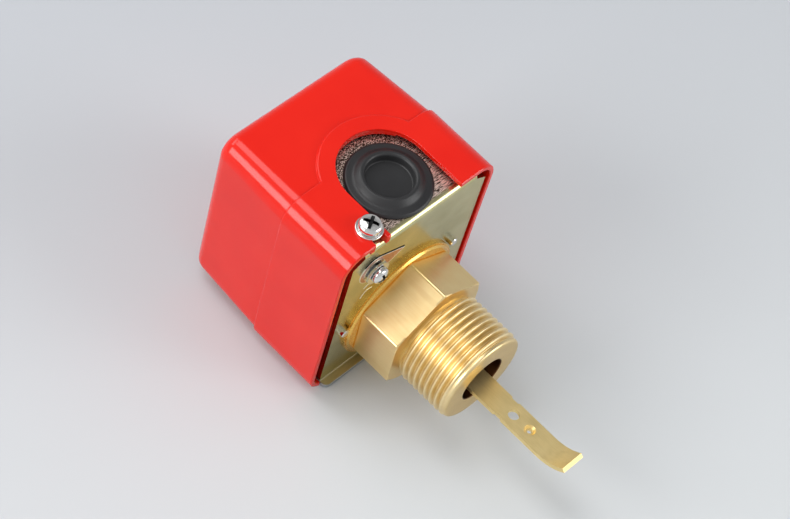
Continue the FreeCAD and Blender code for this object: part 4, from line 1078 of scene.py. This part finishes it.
# ---- cable entry
@dataclass
class Grommet:
    """Rubber blanking grommet of the cable entry, its ring sloping softly into its rim."""

    rim: float = 14.25 * MM
    rim_rise: float = 1.3 * MM
    rim_round: float = 0.9 * MM
    rim_fall: float = 0.86
    crest: float = 8.75 * MM
    tube: float = 1.0 * MM
    ring_rise: float = 3.0 * MM
    ring_sweep: float = 0.72
    slope: Point2 = (1.15 * MM, 2.4 * MM)
    slope_drop: float = 0.55 * MM
    slope_round: float = 2.0 * MM
    disc: float = -0.2 * MM
    wall: float = 1.6 * MM
    neck: float = 10.15 * MM
    barb: float = -1.7 * MM
    barb_out: float = 1.4 * MM
    tail: float = -4.9 * MM
    edge: float = 0.2 * MM

    def build(self) -> None:
        """Make the grommet on the flange."""
        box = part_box("cable_grommet")
        inner = self.crest - self.tube
        outline = rounded([(0.0, self.disc, 0), (inner - 0.1 * MM, self.disc, 0.4 * MM),
                           (inner, self.disc + 1.0 * MM, 0)])
        for step in range(15):
            angle = math.pi * (1 - self.ring_sweep * step / 14)
            outline.append((self.crest + self.tube * math.cos(angle),
                            self.ring_rise - self.tube + self.tube * math.sin(angle)))
        outline += rounded([
            (self.crest + self.slope[0], self.ring_rise - self.slope_drop, 0),
            (self.crest + self.slope[1], self.rim_rise, self.slope_round),
            (self.rim - self.rim_round, self.rim_rise * self.rim_fall, self.rim_round),
            (self.rim, 0.1 * MM, self.edge), (self.neck, 0.0, self.edge),
            (self.neck, self.barb, self.edge), (self.neck + self.barb_out, self.barb, 0.3 * MM),
            (self.neck, self.tail, 0.4 * MM), (self.neck - self.wall, self.tail, 0.3 * MM),
            (self.neck - self.wall, self.disc - self.wall, 0.4 * MM),
            (0.0, self.disc - self.wall, 0)], 6)
        piece = new_piece("entry_grommet", turned(outline, 128, closed=False), "rubber", 50)
        settle(piece, (middle(box).x, middle(box).y, box[1].z - self.ring_rise))
        fit_out(piece, Body.HOUSING, "rubber", "cable_grommet")


# ---- cover
def round_rectangle(half_x: float, half_z: float, radius: float, steps: int = 10) -> Profile:
    """Return the points of a rectangle with round corners, about the origin.

    Args:
        half_x: Half its width.
        half_z: Half its depth.
        radius: Its corner radius.
        steps: Divisions of one corner.

    Returns:
        The points, in order.
    """
    points: Profile = []
    for corner, (x, z) in enumerate(((1, 1), (-1, 1), (-1, -1), (1, -1))):
        centre = Vector((x * (half_x - radius), z * (half_z - radius)))
        for step in range(steps + 1):
            angle = math.pi / 2 * (corner + step / steps)
            points.append(tuple(centre + Vector((math.cos(angle), math.sin(angle))) * radius))
    return points


def arch(centre: Point2, radius: float, foot: float, steps: int = 48) -> Profile:
    """Return an arch that opens downwards.

    Args:
        centre: Centre of its round top.
        radius: Half its width.
        foot: Level of its straight ends.
        steps: Divisions of its round top.

    Returns:
        The points, in order.
    """
    (x, y), angles = centre, [math.pi * step / steps for step in range(steps + 1)]
    top = [(x + radius * math.cos(angle), y + radius * math.sin(angle)) for angle in angles]
    return top + [(x - radius, foot), (x + radius, foot)]


@dataclass
class CoverShell:
    """Two-tier moulded cover: rounded shell, grooved step, arched boss, opening, slot, notch.

    The shell is a stack of (level, trim) rows, where the trim is how far the wall stands in
    from the cover's widest outline.
    """

    wall: float = 1.8 * MM
    edge: float = 0.3 * MM
    corner: float = 8.0 * MM
    step_level: float = 45.2 * MM
    step_round: float = 0.7 * MM
    inset: float = 0.7 * MM
    lean: float = 1.7 * MM
    groove: float = 0.35 * MM
    top_round: float = 4.4 * MM
    inner_step: Point2 = (-1.0 * MM, -0.8 * MM)
    entry: Point2 = (0.6 * MM, 36.45 * MM)
    opening: float = 15.05 * MM
    boss: float = 20.8 * MM
    boss_deep: float = 3.2 * MM
    boss_sink: float = 0.03 * MM
    slot: float = 2.3 * MM
    pad_half: float = 4.2 * MM
    pad_top: float = 28.6 * MM
    lap: float = 0.05 * MM
    notch_side: float = 0.4 * MM
    notch_top: float = 20.7 * MM
    past: float = 2.0 * MM
    cut_deep: float = 8.0 * MM

    def __post_init__(self) -> None:
        """Take the cover's box from the frame."""
        self.low, self.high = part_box("cover")

    def outside(self) -> Profile:
        """Work out the rows of the outer skin.

        Returns:
            The rows.
        """
        start, top = self.low.y, self.high.y
        step, rise, nick = self.step_level, top - self.step_level, self.inset + self.groove * 0.4
        rows = [(start, self.edge), (start + self.edge, 0.0)]
        rows += [(start + (step - start) * share, 0.0) for share in (0.25, 0.5, 0.75)]
        rows += [(step - drop, trim) for drop, trim in quarter(self.step_round, 5)]
        rows += [(step - self.groove, nick), (step + self.groove * 0.6, nick),
                 (step + self.groove * 2, self.inset + self.lean * self.groove * 2 / rise)]
        rows += [(step + (rise - self.top_round) * share,
                  self.inset + self.lean * (1 - self.top_round / rise) * share)
                 for share in (0.2, 0.4, 0.6, 0.8)]
        return rows + self.crown(top, rise, self.inset, self.top_round, 10)

    def inside(self) -> Profile:
        """Work out the rows of the inner skin.

        Returns:
            The rows.
        """
        start, top = self.low.y, self.high.y
        below, above = self.inner_step
        rows = [(start, self.wall - self.edge), (start + self.edge, self.wall),
                (self.step_level + below, self.wall), (self.step_level + above, self.wall + self.inset)]
        return rows + self.crown(top - self.wall, top - self.step_level, self.wall + self.inset,
                                 self.top_round - self.wall, 6)

    def crown(self, top: float, rise: float, trim: float, radius: float, steps: int) -> Profile:
        """Return the rows of a leaning wall's rounded top; rise is the upper tier's height."""
        return [(top - drop, trim + self.lean * (top - drop - self.step_level) / rise + more)
                for drop, more in quarter(radius, steps)]

    def shell(self) -> Mesh:
        """Make the closed shell from round rectangles, outside first and then inside.

        Returns:
            The mesh.
        """
        centre = middle((self.low, self.high))
        half_x, half_z = (self.high.x - self.low.x) / 2, (self.high.z - self.low.z) / 2
        outer = [(level, trim, max(self.corner - trim * 0.6, 1.2 * MM)) for level, trim in self.outside()]
        inner = [(level, trim, max(self.corner - trim, 0.8 * MM)) for level, trim in self.inside()]
        points = [(centre.x + x, level, centre.z + z) for level, trim, radius in outer + inner
                  for x, z in round_rectangle(half_x - trim, half_z - trim, radius)]
        count = len(points) // len(outer + inner)
        turn = len(outer) * count
        faces = bands(len(outer), count)
        faces += [tuple(turn + spot for spot in face) for face in bands(len(inner), count)]
        faces += band(0, turn, count)
        faces += [tuple(range(turn - count, turn)), tuple(range(len(points) - count, len(points)))]
        return mesh_of(points, faces)

    def boss_mesh(self, face: float) -> Mesh:
        """Make the half-round boss with its rounded rim.

        Args:
            face: Level of its front.

        Returns:
            The closed mesh.
        """
        foot = self.step_level - 1.0 * MM
        angles = [math.pi * (step / 64 * 1.3 - 0.15) for step in range(65)]
        rows = [(self.boss, face - self.boss_deep)]
        rows += [(self.boss - trim, face - drop) for drop, trim in quarter(self.step_round, 5)]
        points = [(self.entry[0] + radius * math.cos(angle),
                   max(self.entry[1] + radius * math.sin(angle), foot), level)
                  for radius, level in rows for angle in angles]
        return stack(points, len(angles))

    def build(self) -> None:
        """Make the cover with its cuts."""
        low, high = self.low, self.high
        base_low, base_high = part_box("base_bracket")
        screw = middle(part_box("cover_flat_washer"))
        piece = new_piece("cover_shell", self.shell(), "red_plastic", 28)
        carve(piece, self.boss_mesh(high.z - self.boss_sink), "UNION")
        pad = rectangle(screw.x - self.pad_half, low.y + self.lap, screw.x + self.pad_half, self.pad_top)
        carve(piece, prism(pad, base_high.z + self.lap, high.z - self.wall + 0.1 * MM), "UNION")
        below = low.y - self.past
        for outline in (arch(self.entry, self.opening, below),
                        arch((screw.x, screw.y), self.slot, below, 20)):
            carve(piece, prism(outline, high.z - self.cut_deep, high.z + self.past))
        notch = rectangle(base_low.x - self.notch_side, below, base_high.x + self.notch_side,
                          self.notch_top)
        carve(piece, prism(notch, low.z - self.past, low.z + self.wall + self.past))
        break_edges(piece, self.edge).use_clamp_overlap = False
        apply_modifiers(piece)
        shade(piece.data, 32)
        piece.modifiers.new("even_shading", "WEIGHTED_NORMAL").keep_sharp = True
        apply_modifiers(piece)
        fit_out(piece, Body.COVER, "red_plastic", "cover")


# ---- carried-over nodes
def dress_nodes() -> None:
    """Give every CAD node the finish of its slot."""
    slots = {part["node"]: part["material_slot"] for part in frame["record"]["subparts"]}
    for name, node in frame["nodes"].items():
        finish = finishes[SLOT_FINISH.get(slots[name], slots[name])]
        if not node.material_slots:
            node.data.materials.append(finish)
        for slot in node.material_slots:
            slot.material = finish
        log.info("%s wears %s", name, finish.name)


def soften_nodes() -> None:
    """Break the edges of the base, the arm and the lever rod, and round the frame screws' tips."""
    for name, width in (("base_bracket", 0.2 * MM), ("frame_screws", 0.8 * MM),
                        ("paddle_arm", 0.25 * MM), ("lever_rod", 0.2 * MM)):
        node = frame["nodes"][name]
        flat = node.modifiers.new("flat_faces", "DECIMATE")
        flat.decimate_type = "DISSOLVE"
        flat.angle_limit = math.radians(0.5)
        break_edges(node, width, segments=3)


# ---- studio
@dataclass(frozen=True)
class Softbox:
    """A soft lamp that looks at the switch; its face is measured across and along the stem."""

    name: str
    direction: Point3
    distance: float
    size: Point2
    power: float

    def build(self) -> None:
        """Hang the lamp."""
        lamp = bpy.data.lights.new(self.name, "AREA")
        lamp.shape = "RECTANGLE"
        lamp.size, lamp.size_y = self.size
        lamp.energy = self.power
        holder = bpy.data.objects.new(self.name, lamp)
        ahead = Vector(self.direction).normalized()
        along = (Vector((0, 1, 0)) - ahead * ahead.y).normalized()
        turn = Matrix((along.cross(ahead), along, ahead)).transposed().to_4x4()
        holder.matrix_world = Matrix.Translation(ahead * self.distance) @ turn
        bpy.context.scene.collection.objects.link(holder)


@dataclass
class Studio:
    """Pale floor, soft lamps, grey surroundings and the camera."""

    floor_far_dim: Colour = (0.48, 0.50, 0.53)
    floor_near_lit: Colour = (0.61, 0.63, 0.64)
    floor_half: float = 3.0
    floor_gap: float = 0.02 * MM
    air_light: Colour = (0.60, 0.61, 0.62)
    air_dark: Colour = (0.34, 0.34, 0.35)
    air_fade: Point2 = (0.55, 0.86)
    dark_side: Point3 = (0.50, 0.29, 0.81)
    view_point: Point3 = (-0.39230, -0.20560, 0.65226)
    forward: Point3 = (0.50160, 0.29231, -0.81422)
    upward: Point3 = (0.50888, 0.66143, 0.55096)
    lens: float = 115.4
    lamps: tuple[Softbox, ...] = (
        Softbox("left_softbox", (-0.80, 0.36, 0.46), 1.3, (0.62, 0.72), 8.6),
        Softbox("upper_softbox", (-0.10, 0.36, 0.92), 1.3, (0.56, 0.72), 4.6),
        Softbox("front_strip", (0.50, -0.70, 0.45), 1.2, (0.9, 0.5), 6.0),
        Softbox("rear_softbox", (-0.1, 0.85, 0.6), 1.5, (0.8, 0.5), 4.0))

    def build_floor(self) -> None:
        """Lay the pale floor under the cover's back, with painted light that makes it brighter towards the
        thread.
        """
        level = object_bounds()[0].z - self.floor_gap
        corners = rectangle(-self.floor_half, -self.floor_half, self.floor_half, self.floor_half)
        mesh = mesh_of([(x, y, level) for x, y in corners], [(0, 1, 2, 3)])
        graph = Graph("floor_card", Specular_IOR_Level=0.2)
        x, y, _ = graph.axes()
        # painted light: the floor gets lighter towards -Y and -X, towards the thread
        across = graph.math("ADD", graph.math("MULTIPLY", x, -0.36), graph.math("MULTIPLY", y, -0.8))
        cloud = graph.math("MULTIPLY", graph.noise(0.3, 2.0), 0.1)
        share = graph.math("ADD", graph.span(across, -0.15, 0.08), cloud)
        graph.finish(graph.mix(share, self.floor_far_dim, self.floor_near_lit), 0.8)
        new_piece("studio_floor", mesh, "floor_card")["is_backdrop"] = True

    def build_world(self) -> None:
        """Set the grey surroundings, with a dark wall on the side that the cover's face mirrors."""
        world = bpy.data.worlds.new("studio_air")
        world.use_nodes = True
        nodes, links = world.node_tree.nodes, world.node_tree.links
        aim = nodes.new("ShaderNodeVectorMath")
        aim.operation = "DOT_PRODUCT"
        aim.inputs[1].default_value = Vector(self.dark_side).normalized()
        links.new(nodes.new("ShaderNodeTexCoord").outputs["Generated"], aim.inputs[0])
        ramp = nodes.new("ShaderNodeValToRGB")
        for stop, place, tone in zip(ramp.color_ramp.elements, self.air_fade,
                                     (self.air_light, self.air_dark)):
            stop.position, stop.color = place, (*tone, 1)
        links.new(aim.outputs["Value"], ramp.inputs["Fac"])
        links.new(ramp.outputs["Color"], nodes["Background"].inputs["Color"])
        bpy.context.scene.world = world

    def build_camera(self) -> None:
        """Place the camera."""
        data = bpy.data.cameras.new("studio_camera")
        data.lens = self.lens
        data.sensor_width = 36.0
        data.clip_start = 10 * MM
        holder = bpy.data.objects.new("studio_camera", data)
        ahead = Vector(self.forward)
        right = ahead.cross(Vector(self.upward)).normalized()
        above = right.cross(ahead).normalized()
        turn = Matrix((right, above, -ahead.normalized())).transposed().to_4x4()
        holder.matrix_world = Matrix.Translation(self.view_point) @ turn
        bpy.context.scene.collection.objects.link(holder)
        bpy.context.scene.camera = holder

    def build(self) -> None:
        """Make the whole studio."""
        self.build_camera()
        self.build_floor()
        self.build_world()
        for lamp in self.lamps:
            lamp.build()
        bpy.context.scene.view_settings.view_transform = "Standard"


def main() -> None:
    """Build the switch's looks in order."""
    logging.basicConfig(level=logging.INFO, format="%(message)s")
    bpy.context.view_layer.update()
    Studio().build()
    for finish in FINISHES:
        finish.build()
    dress_nodes()
    soften_nodes()
    for assembly in (Stem, CoverScrew, EarthPoint, Grommet, RangeSpring, Bellows, CoverShell):
        assembly().build()


if __name__ == "__main__":
    main()
